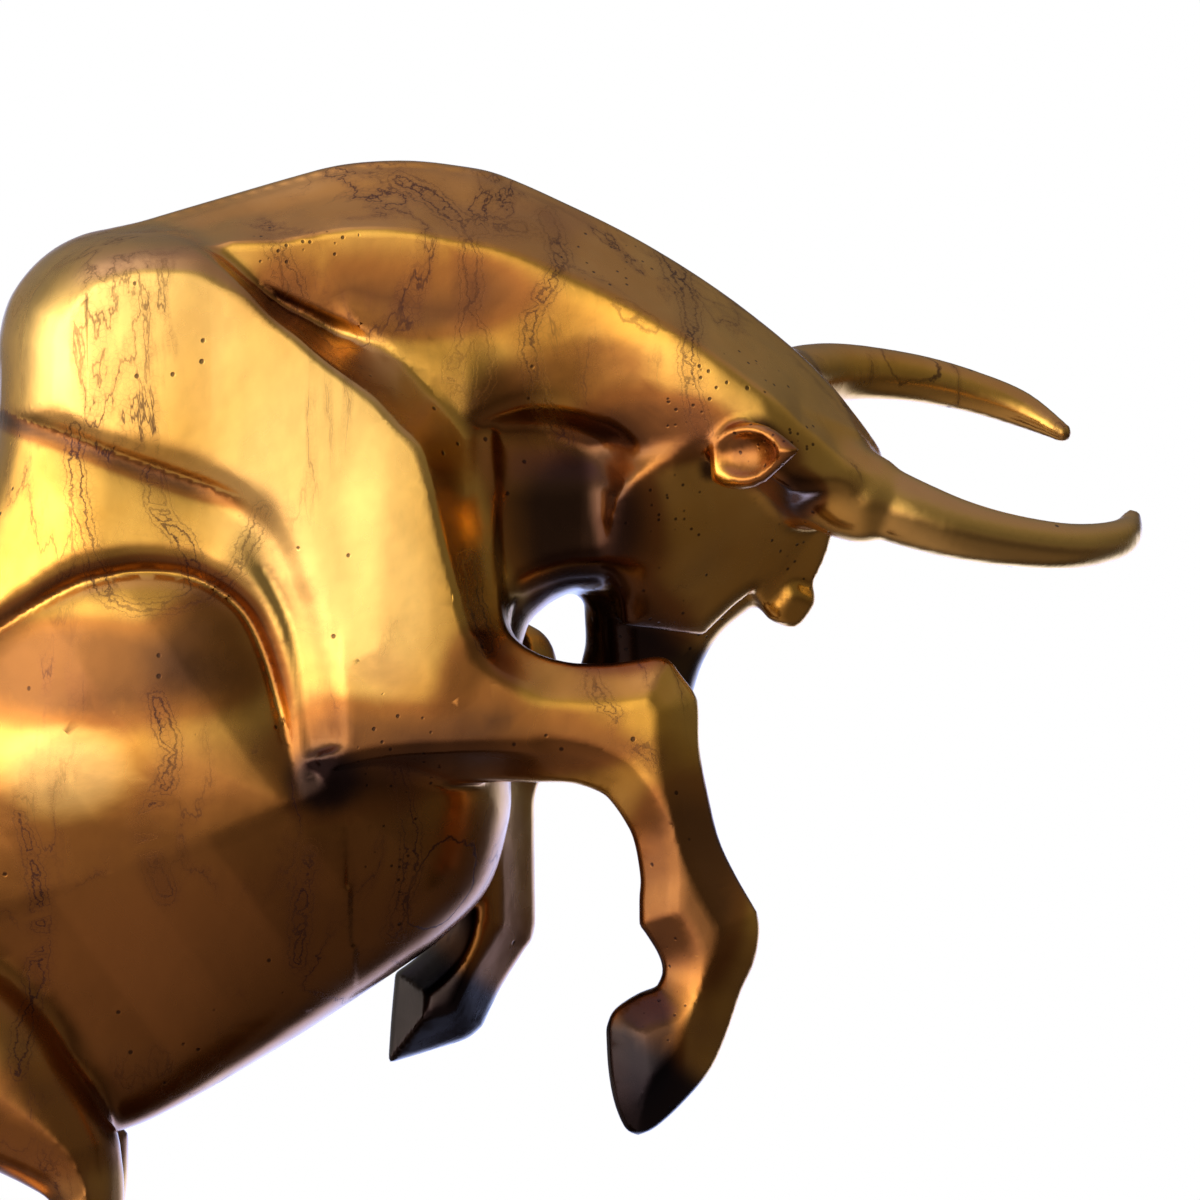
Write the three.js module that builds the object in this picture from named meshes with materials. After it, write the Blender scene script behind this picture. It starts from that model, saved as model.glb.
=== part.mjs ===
// A cast brass bull that rears over a low oval base, with its head bowed and turned away.
// Millimetres, +Z up.  The bull faces +X, its right side faces -Y, and the origin is the centre
// of the base's underside.  The body is described by side outlines in the XZ plane, given a
// thickness across Y, and by a head with axes of its own.  All masses flow into one cast piece.
import * as THREE from 'three';

// Driving dimensions
const BASE_LENGTH = 168;
const BASE_WIDTH = 92;
const BASE_HEIGHT = 10;
const BASE_BEVEL = 1.6;
const SEAT_GAP = 0.3;
const SOLE_HEIGHT = BASE_HEIGHT + SEAT_GAP;

const CHEST_HALF_WIDTH = 20;
const RIB_HALF_WIDTH = 37.5;
const LOIN_HALF_WIDTH = 28;
const WAIST_HALF_WIDTH = 25.5;
const RUMP_HALF_WIDTH = 27;
const TRUNK_ROUNDING = 40;
const NECK_HALF_WIDTH = 27;
const CREST_HALF_WIDTH = 3;
const DEWLAP_HALF_WIDTH = 30;
const SHOULDER_LEVEL = 39.2;
const SHOULDER_UNDERCUT = 3;
const LIP_DEPTH = 4.2;
const SHOULDER_CENTRE = 24;
const SHOULDER_THICKNESS = 15.8;
const FORELEG_CENTRE = 29.2;
const FORELEG_THICKNESS = 10.2;
const BEVEL_RIM = 3.8;
const THIGH_CENTRE = 16.5;
const THIGH_THICKNESS = 14.5;
const HIND_LEG_CENTRE = 16;
const HIND_LEG_THICKNESS = 8.4;
const FAR_HIND_LEG_SWING = 0.22;
const SKULL_HALF_WIDTH = 16;
const HEAD_PLACE = new THREE.Vector3(132.2, 4, 260);

// Mesh fineness: the cell that the surface is first drawn with, and the facets kept
const CELL = 2.2;
const FACETS = 9200;
const LEAST_VALUE = 0.06;

// Curves through points in the side view, and closed outlines whose strokes meet at corners
const CURVE_STEPS = 6;

function curve(points) {
    const spline = new THREE.SplineCurve(points.map(([x, z]) => new THREE.Vector2(x, z)));
    const steps = points.length === 2 ? 1 : CURVE_STEPS * (points.length - 1);
    return spline.getPoints(steps);
}

function outline(...strokes) {
    const loop = strokes.flatMap(curve);
    return loop.filter((p, i) => p.distanceTo(loop[(i || loop.length) - 1]) > 1e-6);
}

const TRUNK = outline(
    [[80, 304], [69.8, 312.2], [60, 314.2], [50.4, 315], [38.8, 314.2], [27.4, 311.4], [4.4, 304.8],
        [-12.8, 300.4], [-21.4, 295.6], [-27, 288.4], [-29.4, 281], [-30.2, 268], [-31.5, 256],
        [-38, 240], [-51, 221], [-67, 201], [-83, 181], [-96, 161], [-102, 148]],
    [[-102, 148], [-98, 140], [-84, 136], [-62, 130], [-34, 121], [-12, 120]],
    [[-12, 120], [-0.2, 124], [14.8, 132], [32, 142.4], [49.2, 153.8], [58.6, 160.6], [67.6, 170.4],
        [71.8, 183.8], [72.2, 193], [72.4, 206], [71.8, 218.8], [73.6, 232], [80, 262]],
);
const CREST = curve([[-60, 275], [-30, 293], [-6, 301], [4.4, 304.8], [27.4, 311.4], [38.8, 314.2],
    [50.4, 315], [60, 314.2], [69.8, 312.2], [80.2, 308.6], [97.4, 300.2], [114.6, 289.4],
    [130.2, 277], [138.6, 268], [142.8, 262.8], [146, 258.2], [150, 250]]);
const NECK = outline(
    [[-6, 301], [4.4, 304.8], [27.4, 311.4], [38.8, 314.2], [50.4, 315], [60, 314.2], [69.8, 312.2],
        [80.2, 308.6], [97.4, 300.2], [114.6, 289.4], [130.2, 277], [138.6, 268], [142.8, 262.8],
        [146, 258.2]],
    [[146, 258.2], [146.4, 254], [142, 247]],
    [[142, 247], [128, 244], [112.4, 251.6], [106, 249], [98, 250.5], [91.6, 257.6], [86, 260.6],
        [80.2, 262.4], [74.4, 262.6], [67, 260.6]],
    [[67, 260.6], [62, 256], [52, 262], [40, 270], [26, 279], [8, 288], [-6, 301]],
);
const NECK_RIDGE = curve([[10, 296], [20, 292.5], [28, 288.5], [37, 284.4], [45, 280.8], [50, 277],
    [55, 272], [60, 266], [65, 259], [70, 250]]);
const DEWLAP = outline(
    [[40, 285], [62, 280], [100, 275], [118, 262], [116, 240], [104, 230], [92, 230.2],
        [85.4, 229.8], [81.2, 228.6], [78.2, 227.2], [74.8, 224.8], [73.2, 222], [71.6, 218]],
    [[71.6, 218], [60, 205], [40, 215]],
);
const SHOULDER = outline(
    [[-30, 280], [-27.6, 288.6], [-21.6, 296], [-14, 300.6], [-6, 302], [5, 302.4], [13, 301.5],
        [20, 298], [29, 292], [40, 285.5], [50, 278], [59, 270], [66, 260]],
    [[66, 260], [66, 250.2], [66.4, 240.6], [67.4, 231.6], [69.5, 222], [73, 217], [78, 212]],
    [[78, 212], [80, 198], [68.2, 195], [49.2, 194], [35, 190]],
    [[35, 190], [0, 200], [-50, 222]],
    [[-50, 222], [-38, 240], [-31.5, 256], [-30.2, 268], [-30, 280]],
);
const SHOULDER_EDGE = curve([[-30, 300], [-18, 300.4], [-10, 300.2], [0, 299.8], [5, 299],
    [10, 297.4], [15, 293.8], [20, 289.2], [25, 284], [30, 280], [35, 275.6], [40, 271.8],
    [45, 268], [50, 262.6], [53, 259.8], [55, 256.6], [57, 248], [59.4, 238], [62, 228],
    [64.4, 219], [66, 212]]);
const NEAR_FORELEG = outline(
    [[34, 214], [50, 226], [62, 222], [71.8, 218], [78.4, 216], [86.2, 215.4], [93.8, 215.6],
        [100.8, 216.8]],
    [[100.8, 216.8], [103.6, 216.2], [106, 213.2], [108.8, 209.4], [109.6, 206.2], [109.8, 198.4],
        [111.4, 189.6], [113.6, 180.6], [116.8, 173.6], [121.2, 166]],
    [[121.2, 166], [121.7, 162], [120.6, 156], [118, 150.2], [115.2, 142], [111.8, 134.6],
        [106, 127.8], [100.8, 123.2], [97.4, 121.8]],
    [[97.4, 121.8], [95, 123.2], [92.8, 128.4], [91.6, 135.2], [91.2, 143]],
    [[91.2, 143], [92.8, 146.6], [97.4, 149.8], [101.2, 151.2]],
    [[101.2, 151.2], [102.4, 154.2], [101.6, 157.6], [99.2, 161.6], [97.8, 163.4]],
    [[97.8, 163.4], [97.8, 169], [98, 173], [96.8, 180], [95, 184], [92.2, 188], [90, 189.8],
        [84.8, 191.6], [76.8, 192.8], [68.2, 193.2], [55.6, 192.6], [42.8, 191.4], [32.6, 188.6]],
    [[32.6, 188.6], [32.4, 200], [34, 214]],
);
const FAR_FORELEG = outline(
    [[22, 222], [54, 226], [66, 221], [72.2, 219.6], [74.2, 222.6], [78.2, 221.4], [80.6, 217],
        [80.2, 208], [78.4, 200], [77, 190], [76.8, 180], [77, 162.8]],
    [[77, 162.8], [76.2, 159.6], [74.4, 157], [69.8, 149.6], [66.4, 142.4]],
    [[66.4, 142.4], [63.2, 139.8], [57.2, 137.8], [47.4, 134.8]],
    [[47.4, 134.8], [48, 144], [48.8, 153]],
    [[48.8, 153], [53.5, 156.5], [57.5, 161], [58.6, 165.4]],
    [[58.6, 165.4], [59.2, 174], [59.6, 184], [57, 192], [44, 193], [30, 190]],
    [[30, 190], [20, 200]],
);
const THIGH = outline(
    [[-102, 150], [-97, 141], [-82, 134.5], [-60, 126.5], [-30, 114.4], [-23.6, 111.6],
        [-19.6, 109.4], [-17.6, 106], [-18.5, 98]],
    [[-18.5, 98], [-7.5, 98]],
    [[-7.5, 98], [-6, 106], [-5.6, 112.2], [-6, 116.8], [-6.6, 121], [-10, 128], [-15, 136],
        [-24, 150], [-40, 163], [-62, 172], [-84, 170], [-98, 160], [-102, 150]],
);
const KNEE = new THREE.Vector2(-12, 112);
const HIND_LEG = outline(
    [[-30, 116], [-19.6, 109.4], [-17.8, 104], [-20, 94], [-27, 83], [-35.5, 73], [-39, 67]],
    [[-39, 67], [-38, 60], [-34, 50], [-32.5, 40], [-34, 32.5]],
    [[-34, 32.5], [-33, 27.5], [-29.5, 24], [-31, 16], [-33, 2]],
    [[-33, 2], [0, 2]],
    [[0, 2], [-7, 17], [-11.5, 24.5], [-13.5, 31], [-16, 38], [-16.6, 47], [-16.2, 57], [-14, 67],
        [-10, 78], [-7, 90], [-5.6, 102], [-5.6, 112.2], [-7, 122]],
    [[-7, 122], [-20, 128]],
);

// Lines of the carving on the flank
const LIP = curve([[-44, 273], [-31, 267], [-24.8, 264], [-15.6, 261], [-5, 256.8], [7.5, 252.4],
    [15, 249.8], [20, 247.6], [24.5, 244], [28, 238], [30, 232], [32, 226], [34.4, 216],
    [36.4, 206], [38, 196], [39, 184]]);
const ARCH_LINE = [[-60, 192], [-44, 210], [-30, 221.6], [-20.4, 227.6], [-10.8, 231.9],
    [-1.2, 233.6], [8.4, 232.6], [15.5, 229], [20, 224.4], [23.4, 217], [26, 208], [28.4, 197],
    [30, 187]];
const ARCH = curve(ARCH_LINE);
const RIBS = outline([...ARCH_LINE, [18, 180], [4.4, 176], [-15.6, 170], [-36, 162], [-56, 164],
    [-60, 192]]);
const FOLD = curve([[19, 241], [22, 236], [25, 231], [27, 227], [29, 222], [30.6, 214], [32, 204],
    [33.6, 194]]);
const THIGH_FOLD = curve([[-52, 118], [-40, 128], [-30, 135], [-22, 137.8], [-15.6, 134],
    [-14, 127], [-10.4, 121]]);
const FLANK_RIDGE = curve([[-110, 138], [-60, 158], [-15.6, 172], [4.4, 178], [28, 188],
    [70, 205]]);
const BODY_FRONT = new THREE.Vector2(45, 245);
const BODY_REAR = new THREE.Vector2(-85, 150);

// The head's own axes: across it to the far side, down the face, and ahead out of the forehead
const ACROSS = new THREE.Vector3(-0.38, 0.775, 0.5).normalize();
const DOWN = new THREE.Vector3(-0.548, 0.237, -0.788).projectOnPlane(ACROSS).normalize();
const AHEAD = new THREE.Vector3().crossVectors(DOWN, ACROSS).normalize();

// Outlines of the head in its own plane: down the face, then ahead
const SKULL = outline(
    [[-9, -2], [0, 5.5], [10, 7.8], [18, 10.6], [31, 12.6]],
    [[31, 12.6], [33, 8], [29.5, 0]],
    [[29.5, 0], [34.5, -2], [42.2, -4]],
    [[42.2, -4], [47.2, -21.4]],
    [[47.2, -21.4], [24, -40], [6, -32], [-6, -18], [-9, -2]],
);
const MUZZLE = outline(
    [[12, 7], [30, 9.5], [36, 7.6], [42, 6], [49, 6.4], [56, 8.7]],
    [[56, 8.7], [59.5, 7], [66, 1], [70, -5], [69, -9.5], [66, -11]],
    [[66, -11], [60.3, -13.4], [52.8, -19.4], [44, -26], [20, -30], [12, 7]],
);

// The horn's middle line in the plane across its root: how far forward, how far out, its radius
const HORN = [[0, 20, 7.8], [4, 22.4, 7.4], [10.9, 27.4, 6.8], [19.3, 31.6, 6], [29.3, 33.7, 5.3],
    [41.4, 33.7, 4.7], [51.7, 30.9, 4.2], [60.4, 25.9, 3.6], [66.4, 17.6, 1.9]];
const HORN_LEAN = Math.asin(0.28);
const COLLAR = [[14, 2, -2, 9.5], [19, 1, 0, 9.3], [21.5, 0, 2.5, 9]];
const BROW = { out: 11.5, down: 28.5, ahead: 9.5, radius: 4.6, power: 3.4 };

// The ear's root and tip, and its outline along and across it
const EAR_ROOT = new THREE.Vector3(18.8, 5, -29.4);
const EAR_TIP = new THREE.Vector3(32.5, -7, -24);
const EAR_FACING = new THREE.Vector3(0.775, -0.237, -0.579);
const EAR_LENGTH = EAR_ROOT.distanceTo(EAR_TIP);
const EAR = outline(
    [[-3, -5], [1, -6.6], [6, -6.8], [10, -5.6]],
    [[10, -5.6], [EAR_LENGTH, 0]],
    [[EAR_LENGTH, 0], [13, 4.4], [8, 6.2], [2, 6], [-3, 4]],
);

// The tail's middle line and radius
const TAIL = [[-92, 0, 160, 6], [-104, 0, 166, 4.2], [-116, 1, 162, 3.4], [-124, 2, 148, 3],
    [-126, 3, 130, 3], [-124, 3, 112, 4.2], [-121, 2, 96, 4.6], [-119, 1, 84, 1.5]];

// How far inside a closed outline a point lies: below zero outside it
function depthInside(loop, u, v) {
    let best = Infinity;
    let inside = false;
    let a = loop[loop.length - 1];
    for (const b of loop) {
        const ex = b.x - a.x;
        const ey = b.y - a.y;
        const px = u - a.x;
        const py = v - a.y;
        const t = THREE.MathUtils.clamp((px * ex + py * ey) / (ex * ex + ey * ey), 0, 1);
        best = Math.min(best, (px - t * ex) ** 2 + (py - t * ey) ** 2);
        if ((a.y > v) !== (b.y > v) && px < (py * ex) / ey) inside = !inside;
        a = b;
    }
    return (inside ? 1 : -1) * Math.sqrt(best);
}

// The nearest point of an open line: how far off, at what share of its length, on which side
function nearest(line, u, v) {
    let best = Infinity;
    let at = 0;
    let side = 1;
    let run = 0;
    for (let i = 0; i + 1 < line.length; i++) {
        const a = line[i];
        const ex = line[i + 1].x - a.x;
        const ey = line[i + 1].y - a.y;
        const length = Math.hypot(ex, ey);
        const px = u - a.x;
        const py = v - a.y;
        const t = THREE.MathUtils.clamp((px * ex + py * ey) / length ** 2, 0, 1);
        const square = (px - t * ex) ** 2 + (py - t * ey) ** 2;
        if (square < best) {
            best = square;
            at = run + t * length;
            side = Math.sign(ex * py - ey * px);
        }
        run += length;
    }
    return { distance: Math.sqrt(best), share: at / run, side };
}

const ramp = (x, low, high) => THREE.MathUtils.smoothstep(x, low, high);
const bump = (r, width) => Math.exp(-((r / width) ** 2));

// A value that runs straight between the given stations
function between(x, stations, values) {
    for (let i = 1; i < stations.length; i++) {
        if (x < stations[i]) {
            const t = Math.max((x - stations[i - 1]) / (stations[i] - stations[i - 1]), 0);
            return THREE.MathUtils.lerp(values[i - 1], values[i], t);
        }
    }
    return values[values.length - 1];
}

// Joining two masses and trimming one by another, with a soft fillet
function join(a, b, soft) {
    const h = Math.max(soft - Math.abs(a - b), 0) / soft;
    return Math.min(a, b) - (h * h * soft) / 4;
}
const trim = (a, b, soft) => -join(-a, -b, soft);

// A mass of the given outline depth and half thickness that rounds over towards its rim
function pillow(depth, across, roundIn, half, power) {
    const edge = Math.max(1 - depth / roundIn, 0);
    const g = (edge ** power + (Math.abs(across) / half) ** power) ** (1 / power) - 1;
    return g * Math.min(roundIn, half);
}

// A flat plate whose sides slope down from its half thickness to a thin rim at its outline
function bevelled(depth, across, half, rim, slope, soft, rimSoft = 1) {
    const side = (Math.abs(across) - rim - slope * depth) / Math.hypot(1, slope);
    return trim(trim(Math.abs(across) - half, side, soft), -depth, rimSoft);
}

// A round bar along a smooth line in space, each point of which has its own radius
function bar(points) {
    const line = new THREE.CatmullRomCurve3(points.map((p) => new THREE.Vector3(p[0], p[1], p[2])),
        false, 'catmullrom', 0.5);
    const steps = 5 * (points.length - 1);
    const joints = line.getPoints(steps);
    const radius = joints.map((p, i) => {
        const at = (i / steps) * (points.length - 1);
        return between(at, points.map((q, k) => k), points.map((q) => q[3]));
    });
    return (x, y, z) => {
        let best = Infinity;
        for (let i = 0; i < steps; i++) {
            const a = joints[i];
            const b = joints[i + 1];
            const e = [b.x - a.x, b.y - a.y, b.z - a.z];
            const q = [x - a.x, y - a.y, z - a.z];
            const square = e[0] ** 2 + e[1] ** 2 + e[2] ** 2;
            const t = THREE.MathUtils.clamp((q[0] * e[0] + q[1] * e[1] + q[2] * e[2]) / square, 0, 1);
            const gap = Math.hypot(q[0] - t * e[0], q[1] - t * e[1], q[2] - t * e[2]);
            best = Math.min(best, gap - THREE.MathUtils.lerp(radius[i], radius[i + 1], t));
        }
        return best;
    };
}

// Half width of the trunk with its carving, and how far in from its outline its sides round over.
// The shoulder overhangs the flank along the lip; below the arch the ribs bulge out again.
const bodyRun = BODY_REAR.clone().sub(BODY_FRONT);

function flank(x, z) {
    const share = new THREE.Vector2(x, z).sub(BODY_FRONT).dot(bodyRun) / bodyRun.lengthSq();
    let half = between(share, [-0.1, 0, 0.05, 0.09, 0.3, 0.4, 0.5, 0.6, 0.7, 0.8, 0.9, 1.1],
        [CHEST_HALF_WIDTH, 23, 33, RIB_HALF_WIDTH, RIB_HALF_WIDTH, 36, 32.5, LOIN_HALF_WIDTH,
            WAIST_HALF_WIDTH, WAIST_HALF_WIDTH, RUMP_HALF_WIDTH, RUMP_HALF_WIDTH]);
    const ridge = nearest(FLANK_RIDGE, x, z);
    const below = Math.hypot(Math.max(-ridge.side * ridge.distance, 0), Math.SQRT2) - Math.SQRT2;
    half -= 9 * (1 - Math.exp(-below / 22));
    const lip = nearest(LIP, x, z);
    const undercut = SHOULDER_UNDERCUT * (1 - 0.6 * ramp(lip.share, 0.42, 0.56));
    half -= undercut * (lip.side > 0 ? 1 : Math.exp(-lip.distance / 8));
    const arch = nearest(ARCH, x, z);
    const off = Math.sqrt(arch.distance ** 2 + 0.5) - 0.7 * bump(arch.distance, 1.5);
    const roll = 3.8 * Math.max(1 - off / 6.5, 0) ** 2;
    const inner = 3.8 - 1.5 * (1 - Math.exp(-off / 2)) - 2 * (1 - Math.exp(-off / 16));
    half -= ramp(z + 0.055 * (x + 60), 191, 212) * (arch.side > 0 ? roll : inner);
    const dome = THREE.MathUtils.clamp(depthInside(RIBS, x, z) / 26, 0, 1);
    half += 2.2 * (1 - (1 - dome) ** 2);
    const fold = nearest(FOLD, x, z);
    half -= 0.9 * bump(fold.distance, 1.5) * ramp(fold.share, 0, 0.3);
    const thigh = nearest(THIGH_FOLD, x, z);
    half -= 3 * bump(thigh.distance, 3) * ramp(thigh.share, 0, 0.3);
    return { half, rounding: TRUNK_ROUNDING - 14 * ramp(z, 205, 250) * (1 - ramp(x, 10, 40)) };
}

// Each mass is worked out for one place in the side view, and then answers for any Y there
function trunk(x, z) {
    const depth = depthInside(TRUNK, x, z);
    const { half, rounding } = flank(x, z);
    return (y) => pillow(depth, y, rounding, half, 2.3);
}

// A facet falls from the neck's crest to a crease.  The side below it is flat at the shoulder and
// rounded towards the head, and steps down below a ridge beside the shoulder.
function neck(x, z) {
    const lean = 2 * ramp(x, 75, 140);
    const depth = depthInside(NECK, x, z);
    const wide = NECK_HALF_WIDTH + 3 * ramp(x, 85, 115) - 7 * ramp(x, 122, 143);
    const crest = nearest(CREST, x, z).distance;
    const inset = between(x, [17, 26, 60, 78, 90, 100, 110, 120, 130, 142],
        [9, 11.4, 14.2, 13.2, 12.6, 12.2, 11.6, 11, 10, 7]);
    const slope = (wide - CREST_HALF_WIDTH) / inset;
    const below = Math.max(crest - inset, 0);
    const roundness = ramp(x, 62, 88);
    let half = wide - 0.06 * below;
    half += roundness * (0.9 * (1 - Math.exp(-below / 2.5)) - 0.006 * below ** 2);
    const ridge = nearest(NECK_RIDGE, x, z);
    if (ridge.side < 0) half -= 3.5 * (1 - Math.exp(-ridge.distance / 4));
    return (y) => {
        const across = Math.abs(y - lean);
        const facet = (across - CREST_HALF_WIDTH - slope * crest) / Math.hypot(1, slope);
        return trim(bevelled(depth, across, half, 10, 3, 2.5), facet, 0.8);
    };
}

// The dewlap narrows from the shoulder's front edge to the throat
function dewlap(x, z) {
    const lean = 4 * ramp(x, 75, 140);
    const depth = depthInside(DEWLAP, x, z);
    const half = between(x, [56, 64, 70, 78, 86, 95, 112],
        [DEWLAP_HALF_WIDTH, 28.5, 25.5, 22.5, 20.5, 19.5, 17]);
    const low = half - 6 * ramp(z, 248, 264);
    return (y) => pillow(depth, y - lean, 9, low, 2.2);
}

// Shoulder and foreleg in one on each side.  The shoulder is a rounded mass at the back, which
// overhangs the flank along the lip, and a flat plate with a crisp upper edge in front.  The
// foreleg is a bevelled bar, thinner and further out.
function shoulder(side, foreleg) {
    return (x, z) => {
        const front = ramp(x, 12, 42);
        const reach = ramp(x, 62, 84);
        const depth = trim(depthInside(SHOULDER, x, z), depthInside(foreleg, x, z), 9);
        const rounding = 15 - 5 * ramp(x, -26, 2) * ramp(z, 262, 288);
        const level = SHOULDER_LEVEL - 0.005 * THREE.MathUtils.clamp(x - 8, -58, 0) ** 2;
        const half = SHOULDER_THICKNESS - (SHOULDER_THICKNESS - FORELEG_THICKNESS) * reach;
        const centre = THREE.MathUtils.lerp(SHOULDER_CENTRE, FORELEG_CENTRE, reach);
        const leg = Math.max(ramp(x, 60, 70), 1 - ramp(z, 214, 228));
        const slope = (half - BEVEL_RIM) / (3 + 4 * leg);
        const dome = 0.9 * bump(Math.hypot(x - 50, z - 236), 26);
        const edge = nearest(SHOULDER_EDGE, x, z);
        const wall = between(x, [-10, 18, 30, 40, 50], [9, 8, 4, 2.4, 1.9]) * (1 - reach);
        const brow = SHOULDER_LEVEL + 0.5 - wall * edge.distance * edge.side
            + 60 * ramp(x, 62, 68) * (1 - ramp(z, 213, 222));
        const lip = lipHeight(x, z);
        return (y) => {
            const across = side * y;
            const back = pillow(depth, across, rounding, level, 2);
            const plate = bevelled(depth, across - centre, half + dome, BEVEL_RIM, slope, 1.6);
            let slab = THREE.MathUtils.lerp(back, plate, front);
            slab = trim(slab, (across - brow) / Math.hypot(1, wall), 1);
            return trim(trim(slab, 2 - across, 1), (across - lip) * 0.7, 1.2);
        };
    };
}

// How far out the shoulder may reach near the lip: up from the flank over a steep lip at the back,
// and with a gentle edge in front.  It doesn't limit the foreleg.
function lipHeight(x, z) {
    const { distance, share, side } = nearest(LIP, x, z);
    const { half, rounding } = flank(x, z);
    const edge = THREE.MathUtils.clamp(1 - Math.max(depthInside(TRUNK, x, z), 0) / rounding, 0, 1);
    const ground = half * (1 - edge ** 2.3) ** (1 / 2.3);
    const turn = ramp(share, 0.42, 0.54);
    const free = 80 * ramp(x, 38, 62) + 40 * (1 - ramp(z, 186, 200)) * ramp(x, 24, 40);
    if (side <= 0) {
        return free + THREE.MathUtils.lerp(ground - distance, SHOULDER_LEVEL - 1.2 - 0.8 * distance, turn);
    }
    const steep = ground + LIP_DEPTH * (1 - Math.exp(-distance / 1.7)) + 0.3 * distance
        + 3 * Math.max(distance - 7, 0);
    const gentle = SHOULDER_LEVEL + 1.6 - 2.8 * Math.exp(-distance / 4) + 0.16 * distance;
    return free + THREE.MathUtils.lerp(steep, gentle, turn);
}

function thigh(side) {
    return (x, z) => {
        const depth = depthInside(THIGH, x, z);
        return (y) => pillow(depth, side * y - THIGH_CENTRE, 16, THIGH_THICKNESS, 2.2);
    };
}

function hindLeg(side, swing) {
    return (x, z) => {
        const place = new THREE.Vector2(x, z).rotateAround(KNEE, swing);
        const depth = depthInside(HIND_LEG, place.x, place.y);
        return (y) => bevelled(depth, side * y - HIND_LEG_CENTRE, HIND_LEG_THICKNESS, 3, 1, 1.4, 1.4);
    };
}

// The masses of the body in the order they flow together, each with its fillet
const BODY = [
    [trunk, 0],
    [neck, 2.5],
    [shoulder(-1, NEAR_FORELEG), 2],
    [shoulder(1, FAR_FORELEG), 2],
    [dewlap, 7],
    [thigh(-1), 5],
    [hindLeg(-1, 0), 3],
    [thigh(1), 5],
    [hindLeg(1, FAR_HIND_LEG_SWING), 3],
];

function headCoordinates(x, y, z) {
    const place = new THREE.Vector3(x, y, z).sub(HEAD_PLACE);
    return [Math.abs(place.dot(ACROSS)), place.dot(DOWN), place.dot(AHEAD)];
}

const collar = bar(COLLAR);
const horn = bar(HORN.map(([forward, out, radius]) => [
    out, -Math.sin(HORN_LEAN) * forward, Math.cos(HORN_LEAN) * forward, radius]));
const tail = bar(TAIL);

function head(x, y, z) {
    const [out, down, ahead] = headCoordinates(x, y, z);
    const cheek = SKULL_HALF_WIDTH - 2.4 * THREE.MathUtils.clamp((ahead + 18) / 22, -1, 1) ** 2;
    let f = bevelled(depthInside(SKULL, down, ahead), out, cheek, 13.6, 0.7, 2, 1.2);
    const muzzle = between(down, [20, 45, 62, 70], [12, 9.5, 10.5, 9.5]);
    f = join(f, pillow(depthInside(MUZZLE, down, ahead), out, 9, muzzle, 2.4), 2);
    const brow = [down - BROW.down, (ahead - BROW.ahead) / 0.9, out - BROW.out];
    const reach = brow.reduce((sum, side) => sum + Math.abs(side) ** BROW.power, 0);
    f = join(f, reach ** (1 / BROW.power) - BROW.radius, 2);
    f = join(f, collar(out, down, ahead), 2.5);
    return join(f, horn(out, down, ahead), 0.8);
}

// A pointed ear with a hollow on the side that faces out
const earAlong = EAR_TIP.clone().sub(EAR_ROOT).normalize();
const earOut = EAR_FACING.clone().projectOnPlane(earAlong).normalize();
const earAcross = new THREE.Vector3().crossVectors(earOut, earAlong);

function ear(x, y, z) {
    const place = new THREE.Vector3(...headCoordinates(x, y, z)).sub(EAR_ROOT);
    const a = place.dot(earAlong);
    const b = place.dot(earAcross);
    const c = place.dot(earOut) - 0.1 * a;
    const leaf = pillow(depthInside(EAR, a, b), c, 3, 2.6, 2);
    const hollow = Math.hypot((a - 7.5) / 7.5, b / 4.6, (c - 2.6) / 2.4) - 1;
    return trim(leaf, -2.4 * hollow, 0.6);
}

// Masses that only reach part of the space: their box, and their fillet with the body
const PARTS = [
    { shape: head, low: [78, -50, 180], high: [202, 64, 292], fillet: 4 },
    { shape: ear, low: [100, -50, 235], high: [145, 60, 300], fillet: 1.2 },
    { shape: tail, low: [-140, -20, 70], high: [-80, 20, 180], fillet: 3 },
];

// The whole bull on a grid of points: below zero inside the metal
const GRID_LOW = [-140, -50, 4];
const GRID_HIGH = [206, 66, 322];

function fillGrid() {
    const size = GRID_LOW.map((low, i) => Math.ceil((GRID_HIGH[i] - low) / CELL) + 1);
    const values = new Float32Array(size[0] * size[1] * size[2]);
    for (let i = 0; i < size[0]; i++) {
        const x = GRID_LOW[0] + i * CELL;
        for (let k = 0; k < size[2]; k++) {
            const z = GRID_LOW[2] + k * CELL;
            const masses = BODY.map(([mass, fillet]) => [mass(x, z), fillet]);
            for (let j = 0; j < size[1]; j++) {
                const y = GRID_LOW[1] + j * CELL;
                let f = masses[0][0](y);
                for (const [at, fillet] of masses.slice(1)) f = join(f, at(y), fillet);
                for (const part of PARTS) {
                    const near = [x, y, z].every((p, n) => p >= part.low[n] && p <= part.high[n]);
                    if (near) f = join(f, part.shape(x, y, z), part.fillet);
                }
                f = Math.max(f, SOLE_HEIGHT - z);
                values[(i * size[1] + j) * size[2] + k] = Math.sign(f) * Math.max(Math.abs(f), LEAST_VALUE);
            }
        }
    }
    return { size, values };
}

// A cell face whose corners alternate would pinch the surface, so its shallower gap is filled
function fillPinches({ size, values }) {
    const step = [size[1] * size[2], size[2], 1];
    const last = values.length - step[0] - step[1];
    for (let changed = true; changed;) {
        changed = false;
        for (let at = 0; at < last; at++) {
            for (let axis = 0; axis < 3; axis++) {
                const u = step[axis];
                const v = step[(axis + 1) % 3];
                const inside = values[at] < 0;
                const pinched = (values[at + u + v] < 0) === inside && (values[at + u] < 0) !== inside
                    && (values[at + v] < 0) !== inside;
                if (!pinched) continue;
                const gap = inside ? [at + u, at + v] : [at, at + u + v];
                values[values[gap[0]] < values[gap[1]] ? gap[0] : gap[1]] = -LEAST_VALUE;
                changed = true;
            }
        }
    }
    return { size, values };
}

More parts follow.
